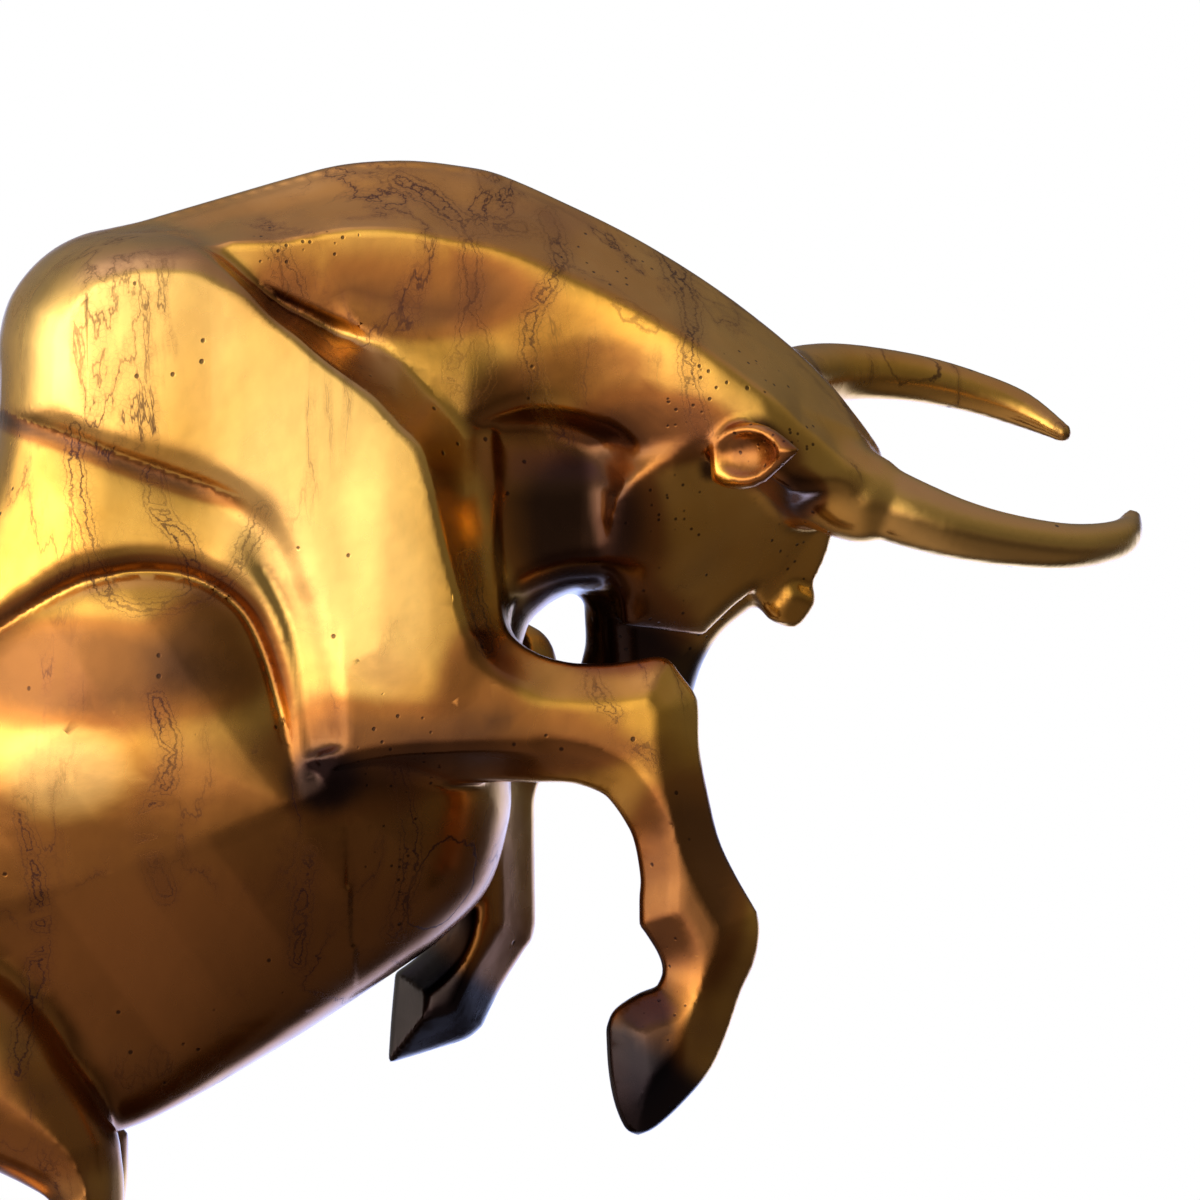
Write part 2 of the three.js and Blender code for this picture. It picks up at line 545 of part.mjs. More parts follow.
// One vertex in each cell that the surface crosses, and one quad across each crossed edge
function drawSurface({ size, values }) {
    const index = (i, j, k) => (i * size[1] + j) * size[2] + k;
    const cellVertex = new Map();
    const points = [];
    const edges = [[0, 1], [2, 3], [4, 5], [6, 7], [0, 2], [1, 3], [4, 6], [5, 7], [0, 4], [1, 5], [2, 6], [3, 7]];
    for (let i = 0; i + 1 < size[0]; i++) {
        for (let j = 0; j + 1 < size[1]; j++) {
            for (let k = 0; k + 1 < size[2]; k++) {
                const corner = [];
                for (let c = 0; c < 8; c++) corner.push(values[index(i + (c >> 2), j + ((c >> 1) & 1), k + (c & 1))]);
                const sum = new THREE.Vector3();
                let count = 0;
                for (const [a, b] of edges) {
                    if ((corner[a] < 0) === (corner[b] < 0)) continue;
                    const t = corner[a] / (corner[a] - corner[b]);
                    sum.x += THREE.MathUtils.lerp(a >> 2, b >> 2, t);
                    sum.y += THREE.MathUtils.lerp((a >> 1) & 1, (b >> 1) & 1, t);
                    sum.z += THREE.MathUtils.lerp(a & 1, b & 1, t);
                    count += 1;
                }
                if (count === 0) continue;
                sum.divideScalar(count).add(new THREE.Vector3(i, j, k)).multiplyScalar(CELL);
                cellVertex.set(index(i, j, k), points.length);
                points.push(sum.add(new THREE.Vector3(...GRID_LOW)));
            }
        }
    }
    const triangles = [];
    const step = [size[1] * size[2], size[2], 1];
    for (let at = 0; at + step[0] < values.length; at++) {
        for (let axis = 0; axis < 3; axis++) {
            const inside = values[at] < 0;
            if (at + step[axis] >= values.length || inside === (values[at + step[axis]] < 0)) continue;
            const u = step[(axis + 1) % 3];
            const v = step[(axis + 2) % 3];
            const quad = [at - u - v, at - v, at, at - u].map((cell) => cellVertex.get(cell));
            if (!inside) quad.reverse();
            triangles.push([quad[0], quad[1], quad[2]], [quad[0], quad[2], quad[3]]);
        }
    }
    return { points, triangles };
}

// Edge collapse that keeps the shape: each vertex remembers the planes it stands for
function planeError(q, p) {
    return q[0] * p.x * p.x + 2 * q[1] * p.x * p.y + 2 * q[2] * p.x * p.z + 2 * q[3] * p.x
        + q[4] * p.y * p.y + 2 * q[5] * p.y * p.z + 2 * q[6] * p.y
        + q[7] * p.z * p.z + 2 * q[8] * p.z + q[9];
}

function bestPlace(q, a, b) {
    const m = new THREE.Matrix3().set(q[0], q[1], q[2], q[1], q[4], q[5], q[2], q[5], q[7]);
    const choices = [a, b, a.clone().add(b).multiplyScalar(0.5)];
    const flatness = 1e-3 * (q[0] + q[4] + q[7]) ** 3;
    if (Math.abs(m.determinant()) > flatness) {
        const place = new THREE.Vector3(-q[3], -q[6], -q[8]).applyMatrix3(m.invert());
        if (place.distanceTo(choices[2]) < 2 * a.distanceTo(b)) choices.push(place);
    }
    let best = { error: Infinity };
    for (const place of choices) {
        const error = planeError(q, place);
        if (error < best.error) best = { error, place };
    }
    return best;
}

function simplify({ points, triangles }, facets) {
    const around = points.map(() => new Set());
    const quadric = points.map(() => new Float64Array(10));
    const edge1 = new THREE.Vector3();
    const edge2 = new THREE.Vector3();
    const normalOf = (a, b, c) => edge1.subVectors(b, a).cross(edge2.subVectors(c, a)).clone();
    triangles.forEach((triangle, t) => {
        const n = normalOf(...triangle.map((v) => points[v]));
        const area = n.length() / 2;
        n.normalize();
        const d = -n.dot(points[triangle[0]]);
        const terms = [n.x * n.x, n.x * n.y, n.x * n.z, n.x * d, n.y * n.y, n.y * n.z, n.y * d, n.z * n.z, n.z * d, d * d];
        for (const v of triangle) {
            around[v].add(t);
            for (let i = 0; i < 10; i++) quadric[v][i] += area * terms[i];
        }
    });
    const neighbours = (v) => {
        const found = new Set();
        for (const t of around[v]) for (const w of triangles[t]) if (w !== v) found.add(w);
        return found;
    };

    // A queue of collapses in order of error; an entry is stale once either end has changed
    const version = new Uint32Array(points.length);
    const heap = [];
    const swap = (i, j) => { [heap[i], heap[j]] = [heap[j], heap[i]]; };
    const push = (entry) => {
        let i = heap.push(entry) - 1;
        while (i > 0 && heap[(i - 1) >> 1].error > heap[i].error) {
            swap(i, (i - 1) >> 1);
            i = (i - 1) >> 1;
        }
    };
    const pop = () => {
        swap(0, heap.length - 1);
        const entry = heap.pop();
        let i = 0;
        for (;;) {
            let least = i;
            for (const child of [2 * i + 1, 2 * i + 2]) {
                if (child < heap.length && heap[child].error < heap[least].error) least = child;
            }
            if (least === i) return entry;
            swap(i, least);
            i = least;
        }
    };
    const consider = (a, b) => {
        const q = quadric[a].map((value, i) => value + quadric[b][i]);
        const { error, place } = bestPlace(q, points[a], points[b]);
        const length = points[a].distanceToSquared(points[b]);
        push({ error: error + 1e-4 * length, place, a, b, stamp: version[a] + version[b] });
    };
    points.forEach((p, a) => neighbours(a).forEach((b) => { if (a < b) consider(a, b); }));

    // A collapse may not pinch the surface, turn a facet over or leave a needle
    const allowed = (a, b, place) => {
        const others = neighbours(b);
        if ([...neighbours(a)].filter((v) => others.has(v)).length !== 2) return false;
        for (const [v, w] of [[a, b], [b, a]]) {
            for (const t of around[v]) {
                if (triangles[t].includes(w)) continue;
                const before = triangles[t].map((u) => points[u]);
                const after = triangles[t].map((u) => (u === v ? place : points[u]));
                const old = normalOf(...before);
                const next = normalOf(...after);
                const longest = Math.max(after[0].distanceTo(after[1]), after[1].distanceTo(after[2]),
                    after[2].distanceTo(after[0]));
                if (old.normalize().dot(next) < 0.5 * next.length()) return false;
                if (next.length() < 0.12 * longest * longest) return false;
            }
        }
        return true;
    };
    let alive = triangles.length;
    while (alive > facets && heap.length) {
        const { a, b, place, stamp } = pop();
        const stale = !around[a].size || !around[b].size || stamp !== version[a] + version[b];
        if (stale || !allowed(a, b, place)) continue;
        for (const t of [...around[b]]) {
            if (triangles[t].includes(a)) {
                for (const v of triangles[t]) around[v].delete(t);
                triangles[t] = null;
                alive -= 1;
            } else {
                triangles[t] = triangles[t].map((v) => (v === b ? a : v));
                around[a].add(t);
            }
        }
        around[b].clear();
        points[a] = place;
        quadric[a] = quadric[a].map((value, i) => value + quadric[b][i]);
        version[a] += 1 + version[b];
        neighbours(a).forEach((v) => consider(a, v));
    }
    return { points, triangles: triangles.filter((triangle) => triangle) };
}

function bullGeometry() {
    const { points, triangles } = simplify(drawSurface(fillPinches(fillGrid())), FACETS);
    const geometry = new THREE.BufferGeometry();
    geometry.setAttribute('position', new THREE.Float32BufferAttribute(points.flatMap((p) => p.toArray()), 3));
    geometry.setIndex(triangles.flat());
    geometry.computeVertexNormals();
    return geometry;
}

// The base is a low oval plate with a bevelled upper and lower edge
function baseGeometry() {
    const oval = new THREE.Shape();
    oval.absellipse(0, 0, BASE_LENGTH / 2 - BASE_BEVEL, BASE_WIDTH / 2 - BASE_BEVEL, 0, 2 * Math.PI);
    const geometry = new THREE.ExtrudeGeometry(oval, {
        depth: BASE_HEIGHT - 2 * BASE_BEVEL,
        bevelThickness: BASE_BEVEL,
        bevelSize: BASE_BEVEL,
        bevelSegments: 2,
        curveSegments: 22,
    });
    return geometry.translate(0, 0, BASE_BEVEL);
}

function piece(name, geometry, color, roughness) {
    const mesh = new THREE.Mesh(geometry, new THREE.MeshStandardMaterial({ color, roughness, metalness: 1 }));
    mesh.name = name;
    return mesh;
}

const statue = new THREE.Group();
statue.add(piece('bull', bullGeometry(), 0xb07f34, 0.32));
statue.add(piece('base', baseGeometry(), 0x4a3620, 0.45));

export default statue;
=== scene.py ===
# A cast brass bull on a low oval base, dressed on its CAD frame.  The bull's fine surface is drawn
# from side outlines, given a thickness across Y, and from a head with axes of its own.
# Shapes are in millimetres: +X is where the bull faces, -Y its right side, +Z up.
import math

import bpy
import numpy as np
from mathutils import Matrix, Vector


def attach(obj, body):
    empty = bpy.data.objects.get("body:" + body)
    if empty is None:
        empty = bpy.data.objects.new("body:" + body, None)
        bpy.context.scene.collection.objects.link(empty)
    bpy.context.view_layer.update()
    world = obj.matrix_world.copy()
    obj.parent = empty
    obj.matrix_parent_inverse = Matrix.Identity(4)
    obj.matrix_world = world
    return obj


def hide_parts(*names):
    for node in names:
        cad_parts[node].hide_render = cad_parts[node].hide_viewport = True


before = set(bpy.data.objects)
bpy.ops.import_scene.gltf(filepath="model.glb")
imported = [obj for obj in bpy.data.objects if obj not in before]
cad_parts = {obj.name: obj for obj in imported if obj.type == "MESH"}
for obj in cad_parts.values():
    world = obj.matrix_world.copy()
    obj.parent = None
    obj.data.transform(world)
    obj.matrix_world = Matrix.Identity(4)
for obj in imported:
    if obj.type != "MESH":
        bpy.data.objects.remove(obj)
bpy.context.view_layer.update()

MM = 0.001

# Driving dimensions
SOLE_HEIGHT = 10.3
CHEST_HALF_WIDTH = 20
RIB_HALF_WIDTH = 37.5
LOIN_HALF_WIDTH = 28
WAIST_HALF_WIDTH = 25.5
RUMP_HALF_WIDTH = 27
TRUNK_ROUNDING = 40
TRUNK_POWER = 2.3
NECK_HALF_WIDTH = 27
CREST_HALF_WIDTH = 3
DEWLAP_HALF_WIDTH = 30
SHOULDER_LEVEL = 39.2
SHOULDER_UNDERCUT = 3.0
LIP_DEPTH = 4.2
ARCH_DEPTH = 3.8
ARCH_ROLL = 6.5
FLANK_FALL = 9
FLANK_FALL_REACH = 22
RIB_SWELL = 2.2
RIB_SWELL_REACH = 26
FOLD_DEPTH = 0.9
THIGH_FOLD_DEPTH = 3
NECK_RIDGE_DEPTH = 3.5
NECK_LEAN = 2
DEWLAP_LEAN = 4
SHOULDER_CENTRE = 24
SHOULDER_THICKNESS = 15.8
FORELEG_CENTRE = 29.2
FORELEG_THICKNESS = 10.2
BEVEL_RIM = 3.8
THIGH_CENTRE = 16.5
THIGH_THICKNESS = 14.5
HIND_LEG_CENTRE = 16
HIND_LEG_THICKNESS = 8.4
KNEE = (-12.0, 112.0)
FAR_HIND_LEG_SWING = 0.22
SKULL_HALF_WIDTH = 16
HEAD_PLACE = np.array((132.2, 4.0, 260.0))

# Camera: the photograph looks level at the bull's right side through a long lens
VIEW_CENTRE = (90.0, 0.0, 228.0)
VIEW_WIDTH = 240.0
VIEW_DISTANCE = 4.0
SENSOR = 36.0
NEAREST_SEEN = 0.1
FARTHEST_SEEN = 50

camera_data = bpy.data.cameras.new("camera")
camera_data.sensor_width = SENSOR
camera_data.lens = SENSOR * VIEW_DISTANCE / (VIEW_WIDTH * MM)
camera_data.clip_start = NEAREST_SEEN
camera_data.clip_end = FARTHEST_SEEN
camera = bpy.data.objects.new("camera", camera_data)
camera.location = (VIEW_CENTRE[0] * MM, -VIEW_DISTANCE, VIEW_CENTRE[2] * MM)
camera.rotation_euler = (math.radians(90), 0, 0)
bpy.context.scene.collection.objects.link(camera)
bpy.context.scene.camera = camera


# Curves and outlines

# A distance beyond everything, points that lie on each other, and what counts as nothing
FAR_AWAY = 1e9
TOUCHING = 1e-6
TINY = 1e-9


def spline(points, steps=6):
    """Points along a smooth curve through the given points."""
    points = [np.array(p, float) for p in points]
    if len(points) == 2:
        return points
    out = []
    for i in range(len(points) - 1):
        a, b = points[i], points[i + 1]
        before = points[max(i - 1, 0)]
        after = points[min(i + 2, len(points) - 1)]
        start, end = (b - before) / 2, (after - a) / 2
        for k in range(steps):
            t = k / steps
            out.append((2 * t**3 - 3 * t**2 + 1) * a + (t**3 - 2 * t**2 + t) * start
                       + (3 * t**2 - 2 * t**3) * b + (t**3 - t**2) * end)
    out.append(points[-1])
    return out


def outline(*strokes):
    """A closed outline of smooth strokes that meet at corners."""
    loop = [p for stroke in strokes for p in spline(stroke)]
    return np.array([p for i, p in enumerate(loop) if np.hypot(*(p - loop[i - 1])) > TOUCHING])


def depth_inside(loop, u, v):
    """Distance from the outline, above zero inside it."""
    u, v = np.broadcast_arrays(u, v)
    best = np.full(u.shape, FAR_AWAY)
    inside = np.zeros(u.shape, bool)
    for (a0, a1), (b0, b1) in zip(loop, np.roll(loop, -1, axis=0)):
        e0, e1 = b0 - a0, b1 - a1
        p0, p1 = u - a0, v - a1
        t = np.clip((p0 * e0 + p1 * e1) / (e0 * e0 + e1 * e1), 0, 1)
        best = np.minimum(best, (p0 - t * e0)**2 + (p1 - t * e1)**2)
        if abs(e1) > TINY:
            inside ^= ((a1 > v) != (b1 > v)) & (p0 < p1 * e0 / e1)
    return np.where(inside, 1.0, -1.0) * np.sqrt(best)


def along(curve, u, v):
    """Distance from an open curve, the share of its length at the nearest point, and the side."""
    u, v = np.broadcast_arrays(u, v)
    best = np.full(u.shape, FAR_AWAY)
    share = np.zeros(u.shape)
    side = np.zeros(u.shape)
    curve = np.array(curve)
    lengths = np.hypot(*(curve[1:] - curve[:-1]).T)
    run = 0.0
    for a, b, length in zip(curve[:-1], curve[1:], lengths):
        e = b - a
        p0, p1 = u - a[0], v - a[1]
        t = np.clip((p0 * e[0] + p1 * e[1]) / length**2, 0, 1)
        d = (p0 - t * e[0])**2 + (p1 - t * e[1])**2
        near = d < best
        best = np.where(near, d, best)
        share = np.where(near, (run + t * length) / lengths.sum(), share)
        side = np.where(near, np.sign(e[0] * p1 - e[1] * p0), side)
        run += length
    return np.sqrt(best), share, side


def ramp(x, low, high):
    """A smooth step from 0 at low to 1 at high."""
    t = np.clip((x - low) / (high - low), 0, 1)
    return t * t * (3 - 2 * t)


def bump(r, width):
    """A smooth hill of height 1 at r = 0."""
    return np.exp(-(r / width)**2)


def join(a, b, soft):
    """Two masses in one, with a fillet of the given size where they meet."""
    h = np.maximum(soft - abs(a - b), 0) / soft
    return np.minimum(a, b) - h * h * soft / 4


def trim(a, b, soft):
    """What two masses share, with its edge softened."""
    return -join(-a, -b, soft)


def pillow(depth, across, round_in, half, power):
    """A mass with the given outline depth and half thickness, rounded over towards its rim."""
    edge = np.maximum(1 - depth / round_in, 0)
    g = (edge**power + (abs(across) / half)**power)**(1 / power) - 1
    return g * np.minimum(round_in, half)


def bevelled(depth, across, half, rim, slope, soft, rim_soft=1.0):
    """A plate whose sides slope down from its half thickness to a thin rim at its outline."""
    side = (abs(across) - rim - slope * depth) / np.sqrt(1 + slope**2)
    return trim(trim(abs(across) - half, side, soft), -depth, rim_soft)


def bar(points, p, steps=5):
    """A round bar along a curve in space, each point of which has its own radius."""
    joints = spline(points, steps)
    best = np.full(np.broadcast(*p).shape, FAR_AWAY)
    for a, b in zip(joints[:-1], joints[1:]):
        e = b[:3] - a[:3]
        q = [p[i] - a[i] for i in range(3)]
        t = np.clip(sum(q[i] * e[i] for i in range(3)) / e.dot(e), 0, 1)
        d = np.sqrt(sum((q[i] - t * e[i])**2 for i in range(3)))
        best = np.minimum(best, d - (a[3] + t * (b[3] - a[3])))
    return best


# Outlines of the bull in the side view

TRUNK = outline(
    [(80, 304), (69.8, 312.2), (60, 314.2), (50.4, 315), (38.8, 314.2), (27.4, 311.4), (4.4, 304.8),
     (-12.8, 300.4), (-21.4, 295.6), (-27, 288.4), (-29.4, 281), (-30.2, 268), (-31.5, 256),
     (-38, 240), (-51, 221), (-67, 201), (-83, 181), (-96, 161), (-102, 148)],
    [(-102, 148), (-98, 140), (-84, 136), (-62, 130), (-34, 121), (-12, 120)],
    [(-12, 120), (-0.2, 124), (14.8, 132), (32, 142.4), (49.2, 153.8), (58.6, 160.6), (67.6, 170.4),
     (71.8, 183.8), (72.2, 193), (72.4, 206), (71.8, 218.8), (73.6, 232), (80, 262)],
)
CREST = spline([(-60, 275), (-30, 293), (-6, 301), (4.4, 304.8), (27.4, 311.4), (38.8, 314.2),
                (50.4, 315), (60, 314.2), (69.8, 312.2), (80.2, 308.6), (97.4, 300.2),
                (114.6, 289.4), (130.2, 277), (138.6, 268), (142.8, 262.8), (146, 258.2), (150, 250)])
NECK = outline(
    [(-6, 301), (4.4, 304.8), (27.4, 311.4), (38.8, 314.2), (50.4, 315), (60, 314.2), (69.8, 312.2),
     (80.2, 308.6), (97.4, 300.2), (114.6, 289.4), (130.2, 277), (138.6, 268), (142.8, 262.8),
     (146, 258.2)],
    [(146, 258.2), (146.4, 254), (142, 247)],
    [(142, 247), (128, 244), (112.4, 251.6), (106, 249), (98, 250.5), (91.6, 257.6), (86, 260.6),
     (80.2, 262.4), (74.4, 262.6), (67, 260.6)],
    [(67, 260.6), (62, 256), (52, 262), (40, 270), (26, 279), (8, 288), (-6, 301)],
)
NECK_RIDGE = spline([(10, 296), (20, 292.5), (28, 288.5), (37, 284.4), (45, 280.8), (50, 277),
                     (55, 272), (60, 266), (65, 259), (70, 250)])
DEWLAP = outline(
    [(40, 285), (62, 280), (100, 275), (118, 262), (116, 240), (104, 230), (92, 230.2), (85.4, 229.8),
     (81.2, 228.6), (78.2, 227.2), (74.8, 224.8), (73.2, 222), (71.6, 218)],
    [(71.6, 218), (60, 205), (40, 215)],
)
SHOULDER = outline(
    [(-30, 280), (-27.6, 288.6), (-21.6, 296), (-14, 300.6), (-6, 302), (5, 302.4), (13, 301.5),
     (20, 298), (29, 292), (40, 285.5), (50, 278), (59, 270), (66, 260)],
    [(66, 260), (66, 250.2), (66.4, 240.6), (67.4, 231.6), (69.5, 222), (73, 217), (78, 212)],
    [(78, 212), (80, 198), (68.2, 195), (49.2, 194), (35, 190)],
    [(35, 190), (0, 200), (-50, 222)],
    [(-50, 222), (-38, 240), (-31.5, 256), (-30.2, 268), (-30, 280)],
)
SHOULDER_EDGE = spline([(-30, 300), (-18, 300.4), (-10, 300.2), (0, 299.8), (5, 299), (10, 297.4),
                        (15, 293.8), (20, 289.2), (25, 284), (30, 280), (35, 275.6), (40, 271.8),
                        (45, 268), (50, 262.6), (53, 259.8), (55, 256.6), (57, 248), (59.4, 238),
                        (62, 228), (64.4, 219), (66, 212)])
NEAR_FORELEG = outline(
    [(34, 214), (50, 226), (62, 222), (71.8, 218), (78.4, 216), (86.2, 215.4), (93.8, 215.6),
     (100.8, 216.8)],
    [(100.8, 216.8), (103.6, 216.2), (106, 213.2), (108.8, 209.4), (109.6, 206.2), (109.8, 198.4),
     (111.4, 189.6), (113.6, 180.6), (116.8, 173.6), (121.2, 166)],
    [(121.2, 166), (121.7, 162), (120.6, 156), (118, 150.2), (115.2, 142), (111.8, 134.6),
     (106, 127.8), (100.8, 123.2), (97.4, 121.8)],
    [(97.4, 121.8), (95, 123.2), (92.8, 128.4), (91.6, 135.2), (91.2, 143)],
    [(91.2, 143), (92.8, 146.6), (97.4, 149.8), (101.2, 151.2)],
    [(101.2, 151.2), (102.4, 154.2), (101.6, 157.6), (99.2, 161.6), (97.8, 163.4)],
    [(97.8, 163.4), (97.8, 169), (98, 173), (96.8, 180), (95, 184), (92.2, 188), (90, 189.8),
     (84.8, 191.6), (76.8, 192.8), (68.2, 193.2), (55.6, 192.6), (42.8, 191.4), (32.6, 188.6)],
    [(32.6, 188.6), (32.4, 200), (34, 214)],
)
FAR_FORELEG = outline(
    [(22, 222), (54, 226), (66, 221), (72.2, 219.6), (74.2, 222.6), (78.2, 221.4), (80.6, 217),
     (80.2, 208), (78.4, 200), (77, 190), (76.8, 180), (77, 162.8)],
    [(77, 162.8), (76.2, 159.6), (74.4, 157), (69.8, 149.6), (66.4, 142.4)],
    [(66.4, 142.4), (63.2, 139.8), (57.2, 137.8), (47.4, 134.8)],
    [(47.4, 134.8), (48, 144), (48.8, 153)],
    [(48.8, 153), (53.5, 156.5), (57.5, 161), (58.6, 165.4)],
    [(58.6, 165.4), (59.2, 174), (59.6, 184), (57, 192), (44, 193), (30, 190)],
    [(30, 190), (20, 200)],
)
THIGH = outline(
    [(-102, 150), (-97, 141), (-82, 134.5), (-60, 126.5), (-30, 114.4), (-23.6, 111.6),
     (-19.6, 109.4), (-17.6, 106), (-18.5, 98)],
    [(-18.5, 98), (-7.5, 98)],
    [(-7.5, 98), (-6, 106), (-5.6, 112.2), (-6, 116.8), (-6.6, 121), (-10, 128), (-15, 136),
     (-24, 150), (-40, 163), (-62, 172), (-84, 170), (-98, 160), (-102, 150)],
)
HIND_LEG = outline(
    [(-30, 116), (-19.6, 109.4), (-17.8, 104), (-20, 94), (-27, 83), (-35.5, 73), (-39, 67)],
    [(-39, 67), (-38, 60), (-34, 50), (-32.5, 40), (-34, 32.5)],
    [(-34, 32.5), (-33, 27.5), (-29.5, 24), (-31, 16), (-33, 2)],
    [(-33, 2), (0, 2)],
    [(0, 2), (-7, 17), (-11.5, 24.5), (-13.5, 31), (-16, 38), (-16.6, 47), (-16.2, 57), (-14, 67),
     (-10, 78), (-7, 90), (-5.6, 102), (-5.6, 112.2), (-7, 122)],
    [(-7, 122), (-20, 128)],
)

# Lines of the carving on the flank
LIP = spline([(-44, 273), (-31, 267), (-24.8, 264), (-15.6, 261), (-5, 256.8), (7.5, 252.4),
              (15, 249.8), (20, 247.6), (24.5, 244), (28, 238), (30, 232), (32, 226), (34.4, 216),
              (36.4, 206), (38, 196), (39, 184)])
ARCH = spline([(-60, 192), (-44, 210), (-30, 221.6), (-20.4, 227.6), (-15, 230.4), (-10.8, 231.9),
               (-1.2, 233.6), (8.4, 232.6), (15.5, 229), (20, 224.4), (23.4, 217), (26, 208),
               (28.4, 197), (30, 187)])
RIBS = outline([(-60, 182), (-44, 210), (-30, 221.6), (-20.4, 227.6), (-10.8, 231.9), (-1.2, 233.6),
                (8.4, 232.6), (15.5, 229), (20, 224.4), (23.4, 217), (26, 208), (28.4, 197),
                (30, 187), (18, 180), (4.4, 176), (-15.6, 170), (-36, 162), (-56, 164), (-60, 182)])
FOLD = spline([(19, 241), (22, 236), (25, 231), (27, 227), (29, 222), (30.6, 214), (32, 204),
               (33.6, 194)])
THIGH_FOLD = spline([(-52, 118), (-40, 128), (-30, 135), (-22, 137.8), (-15.6, 134), (-14, 127),
                     (-10.4, 121)])
FLANK_RIDGE = spline([(-110, 138), (-60, 158), (-15.6, 172), (4.4, 178), (28, 188), (70, 205)])
BODY_FRONT = np.array((45.0, 245.0))
BODY_REAR = np.array((-85.0, 150.0))

# Stations along X: how far the neck's crease lies below its crest, how steeply the plate's front
# edge falls, and how wide the dewlap is
CREASE_STATIONS = (17, 26, 60, 78, 90, 100, 110, 120, 130, 142)
CREASE_DEPTHS = (9.0, 11.4, 14.2, 13.2, 12.6, 12.2, 11.6, 11, 10, 7)
WALL_STATIONS = (-10, 18, 30, 40, 50)
WALL_SLOPES = (9, 8, 4, 2.4, 1.9)
DEWLAP_STATIONS = (56, 64, 70, 78, 86, 95, 112)
DEWLAP_HALF_WIDTHS = (DEWLAP_HALF_WIDTH, 28.5, 25.5, 22.5, 20.5, 19.5, 17)

# Half width of the trunk at shares of the way from its front to its rear
TRUNK_SHARES = (-0.1, 0, 0.05, 0.09, 0.3, 0.4, 0.5, 0.6, 0.7, 0.8, 0.9, 1.1)
TRUNK_HALF_WIDTHS = (
    CHEST_HALF_WIDTH, 23, 33, RIB_HALF_WIDTH, RIB_HALF_WIDTH, 36, 32.5, LOIN_HALF_WIDTH,
    WAIST_HALF_WIDTH, WAIST_HALF_WIDTH, RUMP_HALF_WIDTH, RUMP_HALF_WIDTH,
)


def flank(x, z):
    """Half width of the trunk with its carving, and how deep its sides are rounded.

    The shoulder overhangs the flank along the lip; below the arch the ribs bulge out again.
    """
    run = BODY_REAR - BODY_FRONT
    share = ((x - BODY_FRONT[0]) * run[0] + (z - BODY_FRONT[1]) * run[1]) / run.dot(run)
    half = np.interp(share, TRUNK_SHARES, TRUNK_HALF_WIDTHS)
    off, _, side = along(FLANK_RIDGE, x, z)
    below = np.sqrt(np.maximum(-side * off, 0)**2 + 2.0) - math.sqrt(2.0)
    half = half - FLANK_FALL * (1 - np.exp(-below / FLANK_FALL_REACH))
    off, part, side = along(LIP, x, z)
    undercut = SHOULDER_UNDERCUT * (1 - 0.6 * ramp(part, 0.42, 0.56))
    half = half - undercut * np.where(side > 0, 1, np.exp(-off / 8))
    off, _, side = along(ARCH, x, z)
    off = np.sqrt(off**2 + 0.5) - 0.7 * bump(off, 1.5)
    fade = ramp(z + 0.055 * (x + 60), 191, 212)
    roll = ARCH_DEPTH * np.clip(1 - off / ARCH_ROLL, 0, 1)**2
    inner = ARCH_DEPTH - 1.5 * (1 - np.exp(-off / 2.0)) - 2.0 * (1 - np.exp(-off / 16))
    half = half - fade * np.where(side > 0, roll, inner)
    dome = np.clip(depth_inside(RIBS, x, z) / RIB_SWELL_REACH, 0, 1)
    half = half + RIB_SWELL * (1 - (1 - dome)**2)
    off, part, _ = along(FOLD, x, z)
    half = half - FOLD_DEPTH * bump(off, 1.5) * ramp(part, 0, 0.3)
    off, part, _ = along(THIGH_FOLD, x, z)
    half = half - THIGH_FOLD_DEPTH * bump(off, 3) * ramp(part, 0, 0.3)
    return half, TRUNK_ROUNDING - 14 * ramp(z, 205, 250) * (1 - ramp(x, 10, 40))


# Each mass is worked out once over the side view, and then answers for any points above it

def trunk(x, z):
    depth = depth_inside(TRUNK, x, z)
    half, rounding = flank(x, z)
    return lambda at, y: pillow(at(depth), y, at(rounding), at(half), TRUNK_POWER)


def neck(x, z):
    """A facet falls from the crest to a crease; the side steps down below a ridge at the shoulder."""
    lean = NECK_LEAN * ramp(x, 75, 140)
    depth = depth_inside(NECK, x, z)
    wide = NECK_HALF_WIDTH + 3 * ramp(x, 85, 115) - 7 * ramp(x, 122, 143)
    crest = along(CREST, x, z)[0]
    inset = np.interp(x, CREASE_STATIONS, CREASE_DEPTHS)
    slope = (wide - CREST_HALF_WIDTH) / inset
    below = np.maximum(crest - inset, 0)
    round_share = ramp(x, 62, 88)
    half = wide - 0.06 * below + (0.9 * (1 - np.exp(-below / 2.5)) - 0.006 * below**2) * round_share
    off, _, side = along(NECK_RIDGE, x, z)
    half = half - NECK_RIDGE_DEPTH * np.where(side < 0, 1 - np.exp(-off / 4), 0)

    def mass(at, y):
        across = abs(y - at(lean))
        fall = at(slope)
        facet = (across - CREST_HALF_WIDTH - fall * at(crest)) / np.sqrt(1 + fall**2)
        return trim(bevelled(at(depth), across, at(half), 10, 3, 2.5), facet, 0.8)
    return mass


